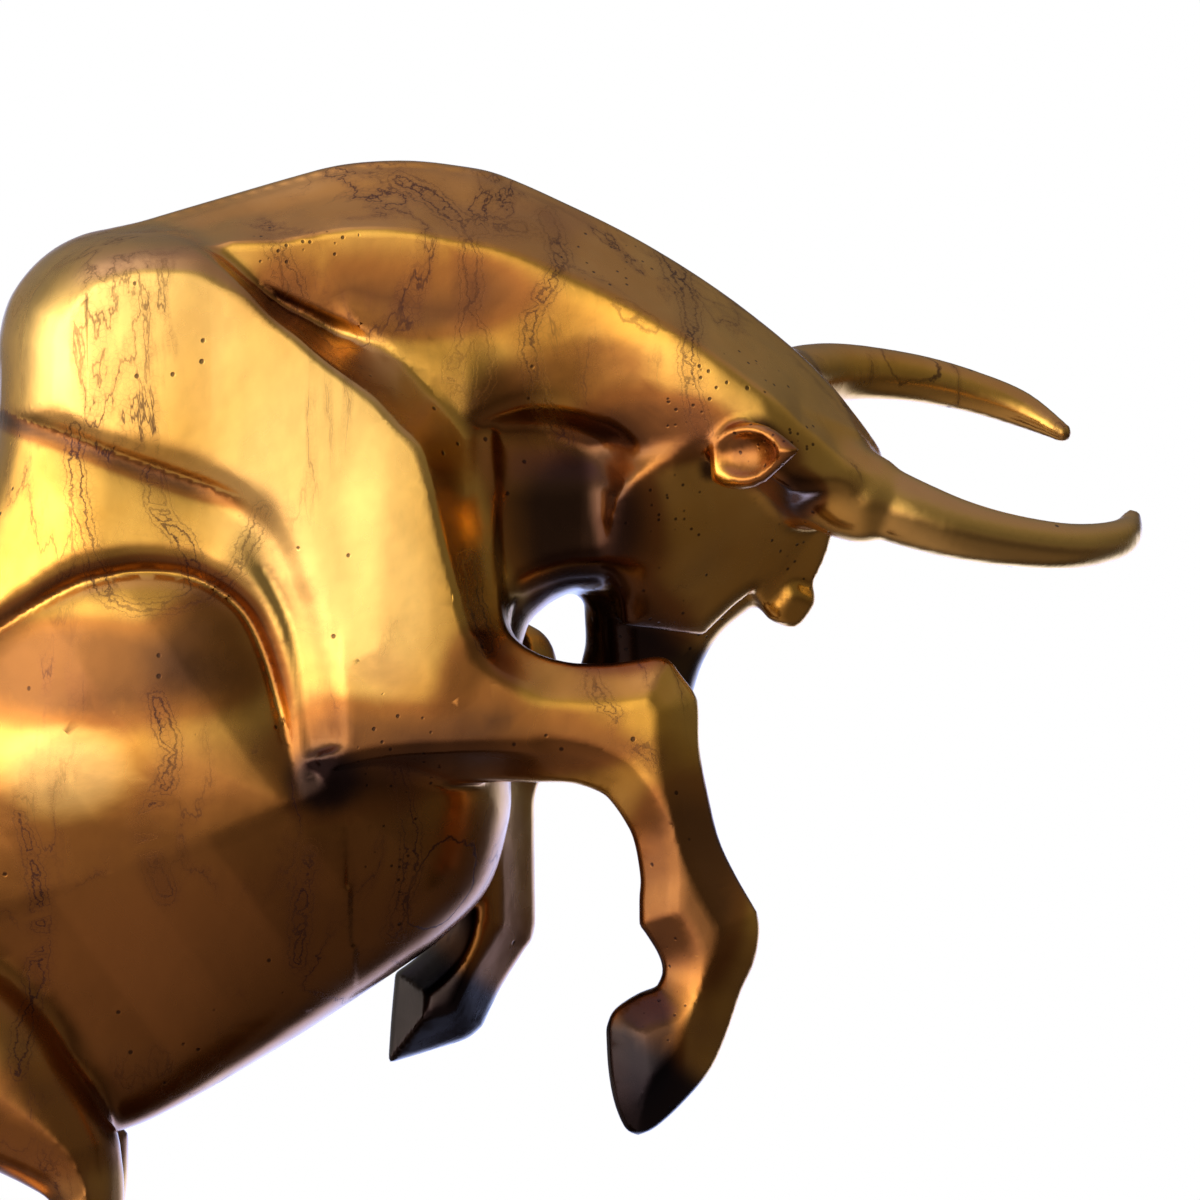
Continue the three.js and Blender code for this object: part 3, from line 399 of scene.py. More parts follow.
def lip_height(x, z):
    """How far out the shoulder may reach near the lip: steep at the back, gentle in front."""
    off, part, lip_side = along(LIP, x, z)
    half, rounding = flank(x, z)
    inside = np.clip(1 - np.maximum(depth_inside(TRUNK, x, z), 0) / rounding, 0, 1)
    ground = half * (1 - inside**TRUNK_POWER)**(1 / TRUNK_POWER)
    steep = ground + LIP_DEPTH * (1 - np.exp(-off / 1.7)) + 0.3 * off + 3 * np.maximum(off - 7, 0)
    gentle = SHOULDER_LEVEL + 1.6 - 2.8 * np.exp(-off / 4) + 0.16 * off
    turn = ramp(part, 0.42, 0.54)
    above = (1 - turn) * steep + turn * gentle
    below = (1 - turn) * (ground - off) + turn * (SHOULDER_LEVEL - 1.2 - 0.8 * off)
    free = 80 * ramp(x, 38, 62) + 40 * (1 - ramp(z, 186, 200)) * ramp(x, 24, 40)
    return np.where(lip_side > 0, above, below) + free


def shoulder(side, foreleg):
    """Shoulder and foreleg in one: rounded at the back, a flat plate in front, a bevelled bar below."""
    def place(x, z):
        front = ramp(x, 12, 42)
        reach = ramp(x, 62, 84)
        depth = trim(depth_inside(SHOULDER, x, z), depth_inside(foreleg, x, z), 9)
        rounding = 15 - 5 * ramp(x, -26, 2) * ramp(z, 262, 288)
        half = SHOULDER_THICKNESS - (SHOULDER_THICKNESS - FORELEG_THICKNESS) * reach
        centre = SHOULDER_CENTRE + (FORELEG_CENTRE - SHOULDER_CENTRE) * reach
        leg = np.maximum(ramp(x, 60, 70), 1 - ramp(z, 214, 228))
        slope = (half - BEVEL_RIM) / (3 + 4 * leg)
        dome = 0.9 * bump(np.hypot(x - 50, z - 236), 26)
        level = SHOULDER_LEVEL - 0.005 * np.clip(x - 8, -58, 0)**2
        edge, _, edge_side = along(SHOULDER_EDGE, x, z)
        wall = np.interp(x, WALL_STATIONS, WALL_SLOPES) * (1 - reach)
        brow = SHOULDER_LEVEL + 0.5 - wall * edge * edge_side
        brow = brow + 60 * ramp(x, 62, 68) * (1 - ramp(z, 213, 222))
        lip = lip_height(x, z)

        def mass(at, y):
            across = side * y
            back = pillow(at(depth), across, at(rounding), at(level), 2.0)
            thickness = at(half) + at(dome)
            plate = bevelled(at(depth), across - at(centre), thickness, BEVEL_RIM, at(slope), 1.6)
            slab = at(front) * plate + (1 - at(front)) * back
            slab = trim(slab, (across - at(brow)) / np.sqrt(1 + at(wall)**2), 1.0)
            return trim(trim(slab, 2 - across, 1), (across - at(lip)) * 0.7, 1.2)
        return mass
    return place


def dewlap(x, z):
    """It narrows from the shoulder's front edge to the throat."""
    lean = DEWLAP_LEAN * ramp(x, 75, 140)
    depth = depth_inside(DEWLAP, x, z)
    half = np.interp(x, DEWLAP_STATIONS, DEWLAP_HALF_WIDTHS)
    half = half - 6 * ramp(z, 248, 264)
    return lambda at, y: pillow(at(depth), y - at(lean), 9, at(half), 2.2)


def thigh(side):
    def place(x, z):
        depth = depth_inside(THIGH, x, z)
        return lambda at, y: pillow(at(depth), side * y - THIGH_CENTRE, 16, THIGH_THICKNESS, 2.2)
    return place


def hind_leg(side, swing):
    def place(x, z):
        u, v = x - KNEE[0], z - KNEE[1]
        c, s = math.cos(swing), math.sin(swing)
        depth = depth_inside(HIND_LEG, KNEE[0] + u * c - v * s, KNEE[1] + u * s + v * c)

        def mass(at, y):
            return bevelled(at(depth), side * y - HIND_LEG_CENTRE, HIND_LEG_THICKNESS, 3, 1, 1.4, 1.4)
        return mass
    return place


# The masses of the body in the order they flow together, each with its fillet
BODY = (
    (trunk, 0),
    (neck, 2.5),
    (shoulder(-1, NEAR_FORELEG), 2),
    (shoulder(1, FAR_FORELEG), 2),
    (dewlap, 7),
    (thigh(-1), 5),
    (hind_leg(-1, 0), 3),
    (thigh(1), 5),
    (hind_leg(1, FAR_HIND_LEG_SWING), 3),
)


# The head, in axes of its own: across to the far side, down the face, ahead out of the forehead

def unit(v):
    return np.array(v) / np.linalg.norm(v)


ACROSS = unit((-0.38, 0.775, 0.5))
DOWN = np.array((-0.548, 0.237, -0.788))
DOWN = DOWN - ACROSS * DOWN.dot(ACROSS)
AHEAD = np.cross(DOWN, ACROSS)

SKULL = outline(
    [(-9, -2), (0, 5.5), (10, 7.8), (18, 10.6), (31, 12.6)],
    [(31, 12.6), (33, 8), (29.5, 0)],
    [(29.5, 0), (34.5, -2), (42.2, -4)],
    [(42.2, -4), (47.2, -21.4)],
    [(47.2, -21.4), (24, -40), (6, -32), (-6, -18), (-9, -2)],
)
MUZZLE = outline(
    [(12, 7), (30, 9.5), (36, 7.6), (42, 6), (49, 6.4), (56, 8.7)],
    [(56, 8.7), (59.5, 7), (66, 1), (70, -5), (69, -9.5), (66, -11)],
    [(66, -11), (60.3, -13.4), (52.8, -19.4), (44, -26), (20, -30), (12, 7)],
)

# The horn's middle line in the plane across its root: how far forward, how far out, its radius
HORN = ((0, 20, 7.8), (4, 22.4, 7.4), (10.9, 27.4, 6.8), (19.3, 31.6, 6), (29.3, 33.7, 5.3),
        (41.4, 33.7, 4.7), (51.7, 30.9, 4.2), (60.4, 25.9, 3.6), (66.4, 17.6, 1.9))
HORN_LEAN = math.asin(0.28)
COLLAR = ((14, 2, -2, 9.5), (19, 1, 0, 9.3), (21.5, 0, 2.5, 9))

# The brow is a squarish knob: its place out, down and ahead, its radius and how square it is
BROW_OUT = 11.5
BROW_DOWN = 28.5
BROW_AHEAD = 9.5
BROW_RADIUS = 4.6
BROW_POWER = 3.4

EAR_ROOT = np.array((18.8, 5.0, -29.4))
EAR_TIP = np.array((32.5, -7.0, -24.0))
EAR_FACING = np.array((0.775, -0.237, -0.579))
EAR_LENGTH = np.linalg.norm(EAR_TIP - EAR_ROOT)
EAR = outline(
    [(-3, -5), (1, -6.6), (6, -6.8), (10, -5.6)],
    [(10, -5.6), (EAR_LENGTH, 0)],
    [(EAR_LENGTH, 0), (13, 4.4), (8, 6.2), (2, 6), (-3, 4)],
)

# The tail's middle line in space, with its radius
TAIL = ((-92, 0, 160, 6), (-104, 0, 166, 4.2), (-116, 1, 162, 3.4), (-124, 2, 148, 3),
        (-126, 3, 130, 3), (-124, 3, 112, 4.2), (-121, 2, 96, 4.6), (-119, 1, 84, 1.5))


def head_place(p):
    """Where points lie in the head's own axes; both halves of the head are alike."""
    q = [p[i] - HEAD_PLACE[i] for i in range(3)]
    out, down, ahead = (sum(q[i] * axis[i] for i in range(3)) for axis in (ACROSS, DOWN, AHEAD))
    return abs(out), down, ahead


def head(p):
    out, down, ahead = head_place(p)
    cheek = SKULL_HALF_WIDTH - 2.4 * np.clip((ahead + 18) / 22, -1, 1)**2
    f = bevelled(depth_inside(SKULL, down, ahead), out, cheek, 13.6, 0.7, 2, 1.2)
    muzzle = np.interp(down, [20, 45, 62, 70], [12, 9.5, 10.5, 9.5])
    f = join(f, pillow(depth_inside(MUZZLE, down, ahead), out, 9, muzzle, 2.4), 2)
    brow = (down - BROW_DOWN, (ahead - BROW_AHEAD) / 0.9, out - BROW_OUT)
    reach = sum(abs(q)**BROW_POWER for q in brow)
    f = join(f, reach**(1 / BROW_POWER) - BROW_RADIUS, 2)
    f = join(f, bar(COLLAR, (out, down, ahead)), 2.5)
    horn = [(b, -math.sin(HORN_LEAN) * a, math.cos(HORN_LEAN) * a, r) for a, b, r in HORN]
    return join(f, bar(horn, (out, down, ahead)), 0.8)


def ear(p):
    """A pointed ear with a hollow on the side that faces out."""
    lengthwise = (EAR_TIP - EAR_ROOT) / EAR_LENGTH
    facing = unit(EAR_FACING - lengthwise * EAR_FACING.dot(lengthwise))
    r = [q - root for q, root in zip(head_place(p), EAR_ROOT)]
    axes = (lengthwise, np.cross(facing, lengthwise), facing)
    a, b, c = (sum(r[i] * axis[i] for i in range(3)) for axis in axes)
    c = c - 0.1 * a
    leaf = pillow(depth_inside(EAR, a, b), c, 3, 2.6, 2)
    hollow = np.sqrt(((a - 7.5) / 7.5)**2 + (b / 4.6)**2 + ((c - 2.6) / 2.4)**2) - 1
    return trim(leaf, -2.4 * hollow, 0.6)


def tail(p):
    return bar(TAIL, p)


# Masses that reach only part of the space: their box, and their fillet with the body
PARTS = (
    (head, (78, -50, 180), (202, 64, 292), 4),
    (ear, (100, -50, 235), (145, 60, 300), 1.2),
    (tail, (-140, -20, 70), (-80, 20, 180), 3),
)

# The grid that the surface is drawn from: its corners, its cell, and how many cells a coarse one has
GRID_LOW = (-140, -50, 4)
GRID_HIGH = (206, 66, 322)
CELL = 0.9
COARSE = 5
BAND = 1.6 * COARSE * CELL


def values_at(masses, at, p):
    """The whole bull at the given points: below zero inside the metal."""
    f = masses[0][0](at, p[1])
    for mass, fillet in masses[1:]:
        f = join(f, mass(at, p[1]), fillet)
    for shape, low, high, fillet in PARTS:
        near = np.ones(f.shape, bool)
        for i in range(3):
            near &= (p[i] >= low[i]) & (p[i] <= high[i])
        inside = [np.broadcast_to(q, f.shape)[near] for q in p]
        f[near] = join(f[near], shape(inside), fillet)
    return np.maximum(f, SOLE_HEIGHT - p[2])


def fill_grid():
    """The bull's values on a grid, fine near its surface and coarse away from it."""
    size = [COARSE * math.ceil((high - low) / (CELL * COARSE)) + 1
            for low, high in zip(GRID_LOW, GRID_HIGH)]
    axes = [low + CELL * np.arange(n) for low, n in zip(GRID_LOW, size)]
    x, z = axes[0][:, None], axes[2][None, :]
    masses = [(mass(x, z), fillet) for mass, fillet in BODY]

    def side_view(values):
        return np.broadcast_to(values, (size[0], size[2]))

    few = [axis[::COARSE] for axis in axes]
    p = (few[0][:, None, None], few[1][None, :, None], few[2][None, None, :])
    rough = values_at(masses, lambda a: side_view(a)[::COARSE, None, ::COARSE], p)
    band = abs(rough) < BAND
    wide = np.zeros(band.shape, bool)
    n = band.shape
    for i in (-1, 0, 1):
        for j in (-1, 0, 1):
            for k in (-1, 0, 1):
                to = tuple(slice(max(s, 0), m + min(s, 0)) for s, m in zip((i, j, k), n))
                of = tuple(slice(max(-s, 0), m - max(s, 0)) for s, m in zip((i, j, k), n))
                wide[to] |= band[of]
    half = COARSE // 2
    index = [np.minimum((np.arange(m) + half) // COARSE, c - 1) for m, c in zip(size, n)]
    grid = np.ix_(*index)
    f = rough[grid].astype(np.float32)
    near = np.nonzero(wide[grid])
    p = [axis[i] for axis, i in zip(axes, near)]
    f[near] = values_at(masses, lambda a: side_view(a)[near[0], near[2]], p)
    return axes, f


def draw_surface(axes, f):
    """One vertex in each cell that the surface crosses, and one quad across each crossed edge."""
    inside = f < 0
    nx, ny, nz = (n - 1 for n in f.shape)
    corners = [(i, j, k) for i in (0, 1) for j in (0, 1) for k in (0, 1)]
    count = np.zeros((nx, ny, nz), np.int8)
    for i, j, k in corners:
        count += inside[i:i + nx, j:j + ny, k:k + nz]
    mixed = (count > 0) & (count < 8)
    cells = np.argwhere(mixed)
    number = np.full(mixed.shape, -1, np.int32)
    number[mixed] = np.arange(len(cells))
    place = np.zeros((len(cells), 3))
    total = np.zeros(len(cells))
    c = cells.T
    for a in corners:
        for axis in range(3):
            if a[axis]:
                continue
            b = list(a)
            b[axis] = 1
            fa = f[c[0] + a[0], c[1] + a[1], c[2] + a[2]]
            fb = f[c[0] + b[0], c[1] + b[1], c[2] + b[2]]
            cross = (fa < 0) != (fb < 0)
            t = np.where(cross, fa / np.where(cross, fa - fb, 1), 0)
            for q in range(3):
                place[:, q] += np.where(cross, a[q] + (t if q == axis else 0), 0)
            total += cross
    place = (cells + place / total[:, None]) * CELL + np.array(GRID_LOW)
    quads = []
    for axis in range(3):
        others = [(1, 2), (2, 0), (0, 1)][axis]
        low = tuple(slice(0, -1) if q == axis else slice(1, -1) for q in range(3))
        high = tuple(slice(1, None) if q == axis else slice(1, -1) for q in range(3))
        a, b = inside[low], inside[high]
        for flip, where in ((False, a & ~b), (True, ~a & b)):
            e = np.argwhere(where)
            for q in others:
                e[:, q] += 1
            ring = []
            for first, second in ((-1, -1), (0, -1), (0, 0), (-1, 0)):
                g = e.copy()
                g[:, others[0]] += first
                g[:, others[1]] += second
                ring.append(number[g[:, 0], g[:, 1], g[:, 2]])
            ring = np.stack(ring, 1)
            quads.append(ring[:, ::-1] if flip else ring)
    return place, np.concatenate(quads)


def sample(f, p):
    """The grid's value at any points, in millimetres."""
    u = [np.clip((p[:, i] - GRID_LOW[i]) / CELL, 0, f.shape[i] - 1.001) for i in range(3)]
    low = [q.astype(int) for q in u]
    share = [(1 - (q - start), q - start) for q, start in zip(u, low)]
    out = 0
    for i in (0, 1):
        for j in (0, 1):
            for k in (0, 1):
                weight = share[0][i] * share[1][j] * share[2][k]
                out = out + weight * f[low[0] + i, low[1] + j, low[2] + k]
    return out


def gradient(f, p, reach):
    """How steeply the grid's value rises along each axis."""
    slope = np.stack([sample(f, p + reach * e) - sample(f, p - reach * e) for e in np.eye(3)], 1)
    return slope / (2 * reach)


def settle(f, p):
    """Moves points onto the surface."""
    for _ in range(2):
        slope = gradient(f, p, 0.5 * CELL)
        step = sample(f, p) / np.maximum((slope**2).sum(1), 0.2)
        p = p - np.clip(step, -0.4 * CELL, 0.4 * CELL)[:, None] * slope
    return p


# The bull's skin

MOST_FACETS = 194000


def build_bull():
    """Draws the surface, thins it out to the most facets allowed, and marks it for the finish."""
    axes, f = fill_grid()
    points, quads = draw_surface(axes, f)
    points = settle(f, points)
    mesh = bpy.data.meshes.new("bull_drawn")
    mesh.from_pydata((points * MM).tolist(), [], quads.tolist())
    obj = bpy.data.objects.new("bull_skin", mesh)
    bpy.context.scene.collection.objects.link(obj)
    shrink = obj.modifiers.new("facets", "DECIMATE")
    shrink.ratio = MOST_FACETS / (2 * len(quads))
    shrink.use_collapse_triangulate = True
    ready = obj.evaluated_get(bpy.context.evaluated_depsgraph_get())
    fine = bpy.data.meshes.new_from_object(ready)
    fine.name = "bull_skin"
    obj.modifiers.clear()
    obj.data = fine
    bpy.data.meshes.remove(mesh)
    place = np.empty(3 * len(fine.vertices))
    fine.vertices.foreach_get("co", place)
    place = settle(f, place.reshape(-1, 3) / MM)
    fine.vertices.foreach_set("co", (place * MM).ravel())
    fine.polygons.foreach_set("use_smooth", np.ones(len(fine.polygons), bool))
    fine.update()
    add_marks(fine, f, place)
    return obj


# Patches in the side view, for painted shade, painted highlights and casting pits: middle, reach along
# and up, strength
PAINTED_SHADE_PATCHES = (
    (86, 244, 17, 20, 0.88), (102, 262, 17, 8, 0.7), (92, 222, 16, 10, 0.7), (70, 262, 8, 16, 0.45),
    (46, 289, 36, 11, 0.75), (8, 168, 76, 40, 0.45), (-14, 214, 32, 12, 0.7), (14, 218, 14, 12, 0.5),
    (44, 199, 18, 12, 0.65), (30, 150, 60, 24, 0.2), (66, 212, 10, 14, 0.5), (78, 200, 26, 8, 0.6),
    (107, 172, 14, 26, 0.72), (99, 140, 8, 18, 0.85), (66, 168, 10, 30, 0.2),
    (-20, 124, 30, 12, 0.55), (122, 256, 9, 7, 0.6), (14, 226, 12, 6, 0.3), (35, 192, 8, 7, 0.85),
    (-20, 60, 24, 50, 0.5), (130, 249, 6, 5, 0.8), (118, 230, 26, 16, 0.25), (88, 274, 16, 8, 0.4),
)
PAINTED_HIGHLIGHT_PATCHES = (
    (-6, 282, 30, 20, 1.0), (34, 250, 22, 34, 1.0), (-16, 194, 12, 9, 0.95), (46, 226, 12, 18, 0.8),
    (172, 246, 34, 22, 0.7),
)
PITTED_PATCHES = (
    (114, 268, 13, 8, 1.0), (126, 259, 9, 6, 1.0), (100, 226, 15, 8, 0.75), (104, 246, 9, 7, 0.6),
    (152, 285, 16, 5, 0.9), (30, 298, 12, 5, 0.7), (132, 238, 8, 8, 0.5), (50, 190, 8, 20, 0.45),
    (92, 296, 8, 6, 0.6), (104, 150, 6, 14, 0.5),
)

# Middle lines of the long dark veins, which run down like drips
VEINS = [spline(points) for points in (
    [(64, 299), (64.6, 288), (63.4, 280), (61, 272), (64, 265)],
    [(66, 281), (67, 274), (64.6, 266)],
    [(24, 299), (29, 295), (30.4, 290), (27, 286), (23.6, 289)],
    [(50, 312), (57, 308), (63, 303), (75, 302)],
    [(79, 304), (82, 295), (76, 282), (78, 268), (83, 260)],
    [(103, 298), (108, 287), (107.6, 274), (110, 261)],
    [(-14, 262), (-13.6, 250), (-11, 238), (-7, 229)],
    [(1.4, 253), (3, 245), (8.4, 238), (9.6, 229)],
    [(23.4, 246), (20.6, 239), (15, 231), (-1, 226.5), (-9.4, 231), (-11, 238)],
    [(32.6, 178), (31, 170), (30, 156)], [(50, 194), (52.6, 178), (49, 162)],
    [(-24.6, 186), (-21, 162), (-26, 134)], [(2, 208), (5, 196), (0, 182), (4, 170)],
    [(64, 236), (65, 228), (68, 219)], [(88, 212), (93, 204), (101, 196)],
)]
VEIN_REACH = 8.0

# How far out from the skin the marks of hollow and of deep places look
HOLLOW_REACH = 3
DEEP_REACH = 6
# The hooves' dark ends are cut off along lines of this slope in the side view
HOOF_SLOPE = 0.75


def patches(places, x, z):
    """How much of the given patches lies at each place."""
    free = np.ones(x.shape)
    for middle_x, middle_z, reach_x, reach_z, strength in places:
        r = np.hypot((x - middle_x) / reach_x, (z - middle_z) / reach_z)
        free *= 1 - strength * (1 - ramp(r, 0.5, 1.35))
    return 1 - free


def add_marks(mesh, f, place):
    """What the finish needs to know of each place: how deep it lies, where the dark parts are, and
    where shade and highlights are painted.
    """
    normals = gradient(f, place, CELL)
    steep = np.linalg.norm(normals, axis=1) + TINY
    normals /= steep[:, None]
    # Hollow and deep places are darkened, partly as patina and partly as painted shade
    hollow = 1 - sample(f, place + HOLLOW_REACH * normals) / (HOLLOW_REACH * steep)
    deep = 1 - sample(f, place + DEEP_REACH * normals) / (DEEP_REACH * steep)
    x, y, z = place.T
    near_hoof = (1 - ramp(z + HOOF_SLOPE * (x - 92), 141, 153)) * ramp(x, 70, 84) * (y < 0)
    far_hoof = (1 - ramp(z + HOOF_SLOPE * (x - 58), 153, 163)) * ramp(x, 40, 44) * (y > 0) * (z > 110)
    hind_hoof = 1 - ramp(z, 18, 30)
    out, down, _ = head_place((x, y, z))
    # Painted shade: the muzzle, set back and facing down, is painted near black
    muzzle = ramp(down, 42, 49) * (x > 85) * (out < SKULL_HALF_WIDTH)
    # Painted highlight: where the metal is lit brightest it gets a paler gold and loses its tarnish
    painted_highlight = patches(PAINTED_HIGHLIGHT_PATCHES, x, z)
    # Painted shadow: a dark band under the shoulder's overhanging lip, and one in the groove above the
    # arch; there the painted highlight gives way
    off, part, side = along(LIP, x, z)
    shadow_under_lip = (side < 0) * bump(off - 1.6, 2.4) * (1 - ramp(part, 0.4, 0.6)) * 0.8
    off, _, side = along(ARCH, x, z)
    shadow_over_arch = (side > 0) * bump(off - 1.8, 2.2) * ramp(z, 196, 214) * 0.7
    shadow_bands = np.maximum(shadow_under_lip, shadow_over_arch)
    # Painted shade: dark patches where the bull lies in shade, kept off the painted highlights, joined
    # by the painted shadow bands
    shade = np.maximum(patches(PAINTED_SHADE_PATCHES, x, z) * (1 - painted_highlight), shadow_bands)
    painted_highlight = painted_highlight * (1 - shadow_bands)
    vein = np.full(x.shape, VEIN_REACH)
    for line in VEINS:
        vein = np.minimum(vein, along(line, x, z)[0])
    marks = {
        "hollow": np.clip(hollow, 0, 1),
        "deep": np.clip(deep, 0, 1),
        "hoof": np.clip(near_hoof + far_hoof + hind_hoof, 0, 1),
        "muzzle": np.clip(muzzle, 0, 1),
        "painted_highlight": painted_highlight,
        "shade": shade,
        "vein": vein,
        "pitted": patches(PITTED_PATCHES, x, z),
    }
    for name, values in marks.items():
        mark = mesh.attributes.new(name, "FLOAT", "POINT")
        mark.data.foreach_set("value", values.astype(np.float32))


# Materials

# Screen values run up to this one, and their curve is a straight line below the second
SCREEN_MOST = 255
SCREEN_STRAIGHT = 11


def linear(*screen):
    """A colour given as 0 to 255 screen values."""
    def light(c):
        share = c / SCREEN_MOST
        return share / 12.92 if c < SCREEN_STRAIGHT else ((share + 0.055) / 1.055)**2.4
    return tuple(light(c) for c in screen) + (1,)


GOLD = (0.84, 0.43, 0.06, 1)
BRIGHT_GOLD = (0.94, 0.53, 0.10, 1)
# The paler gold of the painted highlights
PAINTED_HIGHLIGHT_GOLD = (0.96, 0.61, 0.17, 1)
TARNISH = (0.52, 0.235, 0.07, 1)
# Colours of the painted shade: brown first, near black where it is deepest
PAINTED_SHADE_BROWN = (0.40, 0.155, 0.03, 1)
PAINTED_SHADE_BLACK = (0.035, 0.018, 0.014, 1)
HALO_BROWN = linear(130, 76, 48)
STAIN_BROWN = linear(62, 38, 40)
PIT_BROWN = linear(48, 28, 20)
# Colours of the hollows and deep places: partly patina, partly painted shade
HOLLOW_BROWN = linear(84, 46, 26)
DEEP_BROWN = linear(60, 34, 24)
HOOF_BLACK = linear(34, 30, 32)
# Near black of the painted shade on the muzzle
MUZZLE_SHADE_BLACK = linear(40, 32, 30)
BASE_DARK = linear(74, 54, 34)
BASE_LIGHT = linear(104, 78, 46)
FLOOR_GREY = linear(236, 235, 233)
FLOOR_PALE = linear(242, 241, 240)

# The heights over which the colour grows darker towards the bottom, in metres
DARKENING_LOW = 0.15
DARKENING_HIGH = 0.235

# Patterns by how many of their features fit in a metre
CLOUD = 26
TARNISH_CLOUD = 17
DRIP = 46
DRIP_STRETCH = 0.26
DRIP_PATCH = 19
RING = 30
RING_STRETCH = 0.6
RAGGED = 130
VEIN_SWAY = 120
CRACKLE = 800
FADING = 60
PINHOLE = 210
PINHOLE_PATCH = 24
FINE_PINHOLE = 620
WAVE = 85
GRAIN = 700

# The lines beside a vein's middle, and how far its course sways, in millimetres
INNER_LINE = 1.0
OUTER_LINE = 2.1
SWAY = 6.5


class Nodes:
    """A small helper that adds shader nodes and joins them up."""

    def __init__(self, material):
        material.use_nodes = True
        self.tree = material.node_tree
        self.tree.nodes.clear()

    def add(self, kind, **inputs):
        node = self.tree.nodes.new("ShaderNode" + kind)
        for name, value in inputs.items():
            self.set(node, name, value)
        return node

    def set(self, node, name, value):
        socket = node.inputs[int(name[1:]) if name[0] == "_" else name.replace("_", " ")]
        if isinstance(value, bpy.types.NodeSocket):
            self.tree.links.new(value, socket)
        else:
            socket.default_value = value

    def math(self, operation, *values):
        node = self.tree.nodes.new("ShaderNodeMath")
        node.operation = operation
        for i, value in enumerate(values):
            self.set(node, "_%d" % i, value)
        return node.outputs[0]

    def plus(self, a, b):
        return self.math("ADD", a, b)

    def minus(self, a, b):
        return self.math("SUBTRACT", a, b)

    def times(self, a, b):
        return self.math("MULTIPLY", a, b)

    def most(self, a, b):
        return self.math("MAXIMUM", a, b)

    def apart(self, a, b):
        """How far two values are from each other."""
        return self.math("ABSOLUTE", self.minus(a, b))

    def spread(self, value, low, high, to_low=0.0, to_high=1.0):
        """A smooth step between two values."""
        ends = {"From_Min": low, "From_Max": high, "To_Min": to_low, "To_Max": to_high}
        node = self.add("MapRange", Value=value, **ends)
        node.interpolation_type = "SMOOTHSTEP"
        return node.outputs[0]

    def mix(self, share, first, second):
        node = self.tree.nodes.new("ShaderNodeMix")
        node.data_type = "RGBA"
        for i, value in ((0, share), (6, first), (7, second)):
            self.set(node, "_%d" % i, value)
        return node.outputs[2]

    def place(self, name="Object"):
        return self.tree.nodes.new("ShaderNodeTexCoord").outputs[name]

    def stretched(self, at, upright):
        return self.add("Mapping", Vector=at, Scale=(1.0, 1.0, upright)).outputs[0]

    def noise(self, at, scale, detail, rough, distortion=0.0):
        looks = {"Scale": scale, "Detail": detail, "Roughness": rough, "Distortion": distortion}
        return self.add("TexNoise", Vector=at, **looks).outputs["Fac"]

    def mark(self, name):
        node = self.tree.nodes.new("ShaderNodeAttribute")
        node.attribute_name = name
        return node.outputs["Fac"]

    def metal(self, color, rough, relief, depth):
        """A metal shader with a fine relief."""
        bumps = self.add("Bump", Strength=0.3, Distance=depth, Height=relief).outputs[0]
        return self.add("BsdfPrincipled", Base_Color=color, Metallic=1.0, Roughness=rough, Normal=bumps)

    def finish(self, shader):
        output = self.tree.nodes.new("ShaderNodeOutputMaterial")
        self.tree.links.new(shader.outputs[0], output.inputs["Surface"])


def patina(n, at):
    """Gold that tarnishes in clouds and grows darker towards the bottom, with painted highlights and
    painted shade in patches.
    """
    cloud = n.noise(at, CLOUD, 4, 0.6)
    # Painted highlight: a paler gold without tarnish
    painted_highlight = n.mark("painted_highlight")
    gold = n.mix(n.spread(cloud, 0.36, 0.64), GOLD, BRIGHT_GOLD)
    gold = n.mix(painted_highlight, gold, PAINTED_HIGHLIGHT_GOLD)
    height = n.add("SeparateXYZ", Vector=at).outputs[2]
    lower = n.spread(height, DARKENING_LOW, DARKENING_HIGH, 0.16, 0.0)
    tarnish = n.spread(n.plus(n.noise(at, TARNISH_CLOUD, 3, 0.55), lower), 0.54, 0.74, 0.0, 0.8)
    color = n.mix(n.times(tarnish, n.minus(1.0, painted_highlight)), gold, TARNISH)
    # Painted shade: the gold turns brown, then near black
    shade = n.mark("shade")
    cover = n.plus(shade, n.times(n.minus(cloud, 0.5), 0.5))
    shade = n.times(shade, n.spread(cover, -0.1, 0.5))
    color = n.mix(n.spread(shade, 0.0, 0.55), color, PAINTED_SHADE_BROWN)
    return n.mix(n.spread(shade, 0.45, 1.0), color, PAINTED_SHADE_BLACK)


def drips(n, at):
    """Thin lines that run down the metal, and the halo around them."""
    drip = n.apart(n.noise(n.stretched(at, DRIP_STRETCH), DRIP, 7, 0.56, 0.35), 0.5)
    where = n.spread(n.noise(at, DRIP_PATCH, 3, 0.5), 0.47, 0.6)
    line = n.times(n.spread(drip, 0.0, 0.0075, 1.0, 0.0), where)
    halo = n.times(n.spread(drip, 0.0, 0.05, 1.0, 0.0), where)
    return line, halo


def rings(n, at):
    """Ragged rings left by dried drops."""
    cells = n.add("TexVoronoi", Vector=n.stretched(at, RING_STRETCH), Scale=RING, Randomness=1.0)
    ragged = n.times(n.minus(n.noise(at, RAGGED, 5, 0.6), 0.5), 0.16)
    ring = n.apart(n.plus(cells.outputs["Distance"], ragged), 0.3)
    chosen = n.add("SeparateColor", Color=cells.outputs["Color"]).outputs[0]
    return n.times(n.spread(ring, 0.0, 0.012, 1.0, 0.0), n.math("GREATER_THAN", chosen, 0.62))


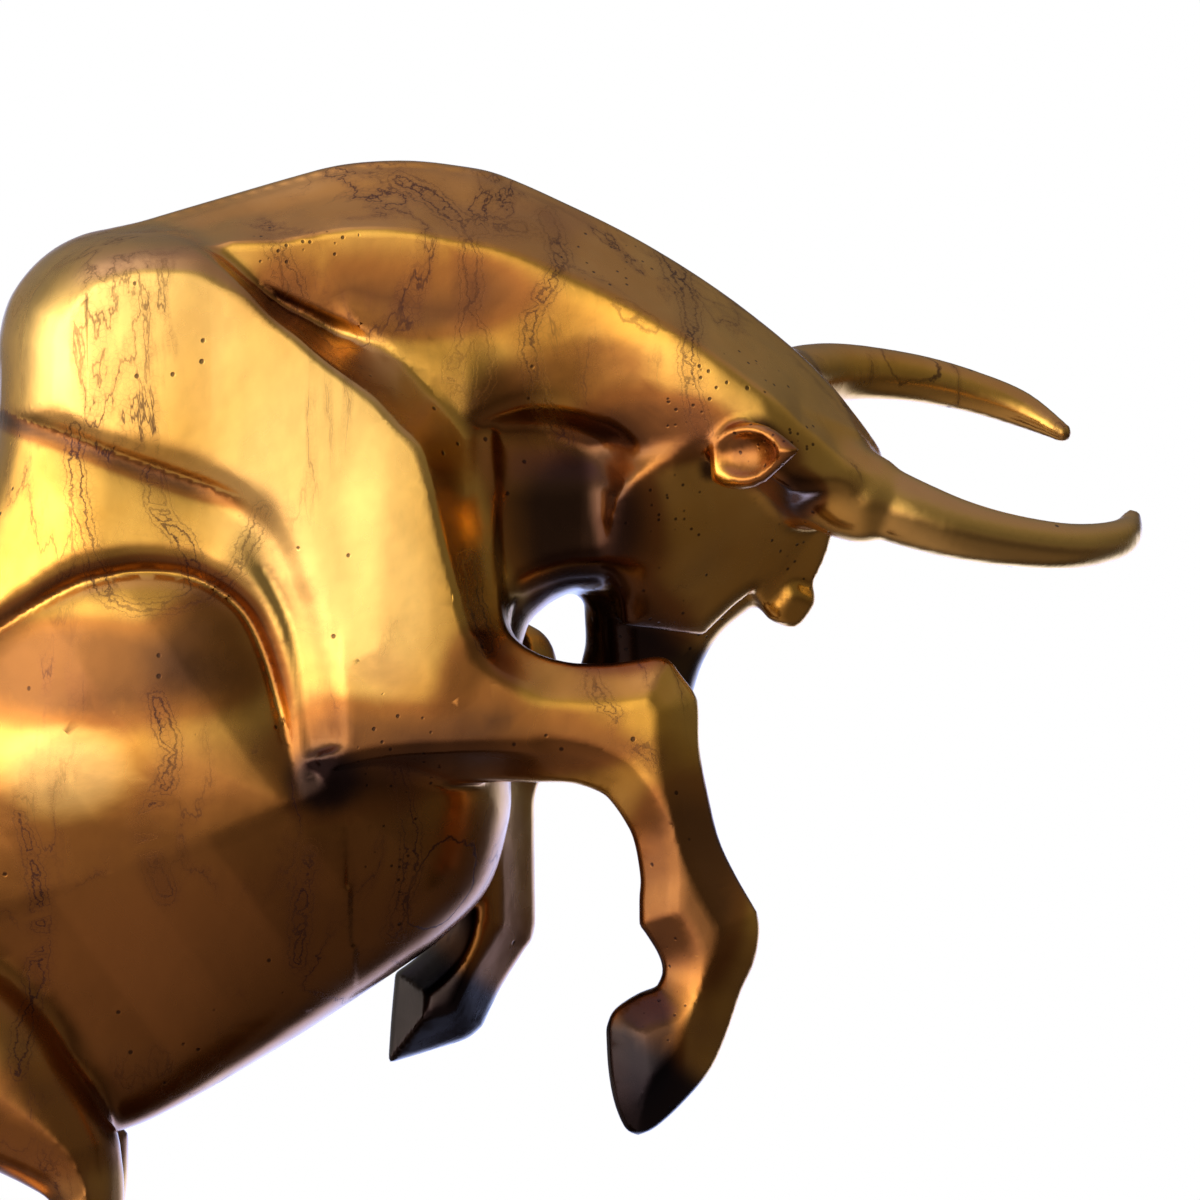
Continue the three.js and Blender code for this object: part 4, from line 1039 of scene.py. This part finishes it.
def veins(n, at):
    """Two wandering lines beside the middle of each long vein, and the halo around them."""
    middle = n.mark("vein")
    swayed = n.plus(middle, n.times(n.minus(n.noise(at, VEIN_SWAY, 8, 0.72), 0.5), SWAY))
    inner = n.spread(n.apart(swayed, INNER_LINE), 0.05, 0.3, 1.0, 0.0)
    outer = n.spread(n.apart(swayed, OUTER_LINE), 0.0, 0.22, 0.7, 0.0)
    return n.most(inner, outer), n.spread(middle, 0.5, 5.0, 0.9, 0.0)


def crackle(n, at):
    """The fine net of cracks in the halos."""
    cells = n.add("TexVoronoi", Vector=at, Scale=CRACKLE)
    cells.feature = "DISTANCE_TO_EDGE"
    return n.spread(cells.outputs["Distance"], 0.0, 0.12, 1.0, 0.0)


def pits(n, at):
    """Casting pinholes: some scattered wide, and fine ones crowded in the pitted patches."""
    dots = n.add("TexVoronoi", Vector=at, Scale=PINHOLE)
    picked = n.add("SeparateColor", Color=dots.outputs["Color"]).outputs[1]
    crowd = n.spread(n.noise(at, PINHOLE_PATCH, 2, 0.5), 0.42, 0.66, 0.94, 0.45)
    wide = n.times(n.spread(dots.outputs["Distance"], 0.06, 0.13, 1.0, 0.0),
                   n.math("GREATER_THAN", picked, crowd))
    specks = n.add("TexVoronoi", Vector=at, Scale=FINE_PINHOLE)
    picked = n.add("SeparateColor", Color=specks.outputs["Color"]).outputs[0]
    fine = n.times(n.spread(specks.outputs["Distance"], 0.12, 0.3, 1.0, 0.0),
                   n.math("LESS_THAN", picked, n.times(n.mark("pitted"), 0.5)))
    return n.most(wide, fine)


def dark_ends(n, color):
    """Darkens the hooves, the hollow and deep places with patina and painted shade, and the muzzle with
    painted shade.
    """
    color = n.mix(n.times(n.spread(n.mark("hollow"), 0.3, 0.85), 0.85), color, HOLLOW_BROWN)
    color = n.mix(n.times(n.spread(n.mark("deep"), 0.5, 1.0), 0.6), color, DEEP_BROWN)
    color = n.mix(n.spread(n.mark("hoof"), 0.0, 1.0, 0.0, 0.97), color, HOOF_BLACK)
    return n.mix(n.spread(n.mark("muzzle"), 0.0, 1.0, 0.0, 0.9), color, MUZZLE_SHADE_BLACK)


def brass():
    """Old gold with brown patina, drip lines and rings, casting pits, recesses darkened by patina and
    painted shade, and painted shade and highlights.
    """
    material = bpy.data.materials.new("bull_brass")
    n = Nodes(material)
    at = n.place()
    line, halo = drips(n, at)
    vein, vein_halo = veins(n, at)
    halo = n.most(halo, vein_halo)
    net = n.times(n.times(crackle(n, at), halo), 0.35)
    stain = n.most(n.most(n.most(line, vein), rings(n, at)), net)
    faded = n.spread(n.noise(at, FADING, 4, 0.6), 0.35, 0.62, 0.25, 0.85)
    # The stains show less in the painted highlights
    faded = n.times(faded, n.minus(1.0, n.times(n.mark("painted_highlight"), 0.4)))
    pit = pits(n, at)
    color = n.mix(n.times(halo, 0.25), patina(n, at), HALO_BROWN)
    color = n.mix(n.times(stain, faded), color, STAIN_BROWN)
    color = n.mix(n.times(pit, 0.8), color, PIT_BROWN)
    color = dark_ends(n, color)
    rough = n.spread(n.noise(at, FADING, 3, 0.6), 0.3, 0.7, 0.2, 0.31)
    rough = n.plus(rough, n.times(stain, 0.2))
    relief = n.plus(n.noise(at, WAVE, 2, 0.5), n.times(n.noise(at, GRAIN, 3, 0.6), 0.05))
    relief = n.minus(relief, n.times(pit, 0.35))
    relief = n.minus(relief, n.times(stain, 0.04))
    shader = n.metal(color, rough, relief, 0.0006)
    shader.inputs["Coat Weight"].default_value = 0.16
    shader.inputs["Coat Roughness"].default_value = 0.12
    n.finish(shader)
    return material


def base_brass():
    """A plain dark patina."""
    material = bpy.data.materials.new("base_brass")
    n = Nodes(material)
    at = n.place()
    color = n.mix(n.spread(n.noise(at, 35, 5, 0.6), 0.35, 0.65), BASE_DARK, BASE_LIGHT)
    rough = n.spread(n.noise(at, 90, 3, 0.6), 0.3, 0.7, 0.32, 0.5)
    n.finish(n.metal(color, rough, n.noise(at, 500, 3, 0.6), 0.0004))
    return material


def pale_floor():
    material = bpy.data.materials.new("floor")
    n = Nodes(material)
    color = n.mix(n.noise(n.place(), 3, 3, 0.5), FLOOR_GREY, FLOOR_PALE)
    n.finish(n.add("BsdfPrincipled", Base_Color=color, Roughness=0.75))
    return material


bull = build_bull()
bull.data.materials.append(brass())
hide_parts("bull")
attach(bull, "root")

SHARP_ANGLE = math.radians(30)

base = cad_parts["base"]
base_metal = base_brass()
for slot in base.material_slots:
    slot.material = base_metal
base.data.shade_smooth()
base.data.set_sharp_from_angle(angle=SHARP_ANGLE)

# Floor, studio light and background

FLOOR_RADIUS = 1.4
FLOOR_PLACE = (0, 0, -0.0004)
LIGHT_AIM = (0.06, 0, 0.21)

bpy.ops.mesh.primitive_circle_add(vertices=128, radius=FLOOR_RADIUS, fill_type="NGON",
                                  location=FLOOR_PLACE)
floor = bpy.context.object
floor.name = "floor"
floor.data.materials.append(pale_floor())
floor.visible_glossy = False


def softbox(name, place, aim, size, power, color=(1, 1, 1)):
    data = bpy.data.lights.new(name, "AREA")
    data.shape = "RECTANGLE"
    data.size, data.size_y = size
    data.energy = power
    data.color = color
    light = bpy.data.objects.new(name, data)
    light.location = place
    light.rotation_euler = (Vector(aim) - Vector(place)).to_track_quat("-Z", "Y").to_euler()
    bpy.context.scene.collection.objects.link(light)
    return light


softbox("key", (-0.95, -0.75, 0.34), LIGHT_AIM, (1.2, 0.5), 1.5, (1.0, 0.98, 0.94))
floor_lights = (
    softbox("floor_wash", (0.3, 1.3, 1.1), (0.3, 1.0, 0), (1.8, 0.8), 26),
    softbox("floor_front", (0.3, -1.0, 2.2), (0.1, -0.3, 0), (1.5, 1.5), 20),
)
for light in floor_lights:
    light.visible_glossy = False


ROOM_LOW = (1.0, 0.8, 0.85, 1)
ROOM_WARM = (1.0, 0.93, 0.85, 1)
ROOM_TOP = (0.95, 0.8, 1.3, 1)
ROOM_BEHIND = (0.9, 1.1, 1.9, 1)
BACKDROP = (1, 1, 1, 1)


def studio(n):
    """The room that the metal reflects, and the white that the camera sees.

    A broad soft light on the left, paler above, dark below and to the right, and white behind.
    """
    x, y, z = n.add("SeparateXYZ", Vector=n.place("Generated")).outputs
    left = n.spread(n.times(x, -1.0), -0.42, 0.6, 0.1, 2.6)
    low = n.spread(z, -0.45, 0.03, 0.12, 1.0)
    high = n.spread(z, 0.2, 0.6, 1.0, 0.24)
    in_front = n.spread(y, 0.1, 0.7, 1.0, 0.08)
    broad = n.times(n.times(left, in_front), n.times(low, high))
    top = n.spread(z, 0.1, 0.8, 0.03, 0.25)
    bounce = n.times(n.spread(z, -0.8, -0.2, 0.07, 0.0), n.spread(y, 0.0, 0.5, 1.0, 0.0))
    strength = n.plus(n.plus(broad, top), bounce)
    color = n.mix(n.spread(z, -0.3, 0.1), ROOM_LOW, ROOM_WARM)
    color = n.mix(n.spread(z, 0.5, 0.9), color, ROOM_TOP)
    behind = n.times(n.spread(y, 0.55, 0.8), n.spread(z, -0.05, 0.25, 1.3, 0.0))
    behind = n.times(behind, n.spread(x, -0.35, 0.0))
    room = n.add("Background", Color=color, Strength=strength).outputs[0]
    white = n.add("Background", Color=ROOM_BEHIND, Strength=behind).outputs[0]
    reflected = n.add("AddShader", _0=room, _1=white).outputs[0]
    shown = n.add("Background", Color=BACKDROP, Strength=1.0).outputs[0]
    camera_ray = n.tree.nodes.new("ShaderNodeLightPath").outputs["Is Camera Ray"]
    both = n.add("MixShader", _0=camera_ray, _1=reflected, _2=shown).outputs[0]
    output = n.tree.nodes.new("ShaderNodeOutputWorld")
    n.tree.links.new(both, output.inputs["Surface"])


world = bpy.data.worlds.new("world")
bpy.context.scene.world = world
studio(Nodes(world))

bpy.context.scene.view_settings.view_transform = "Standard"

bpy.context.view_layer.update()
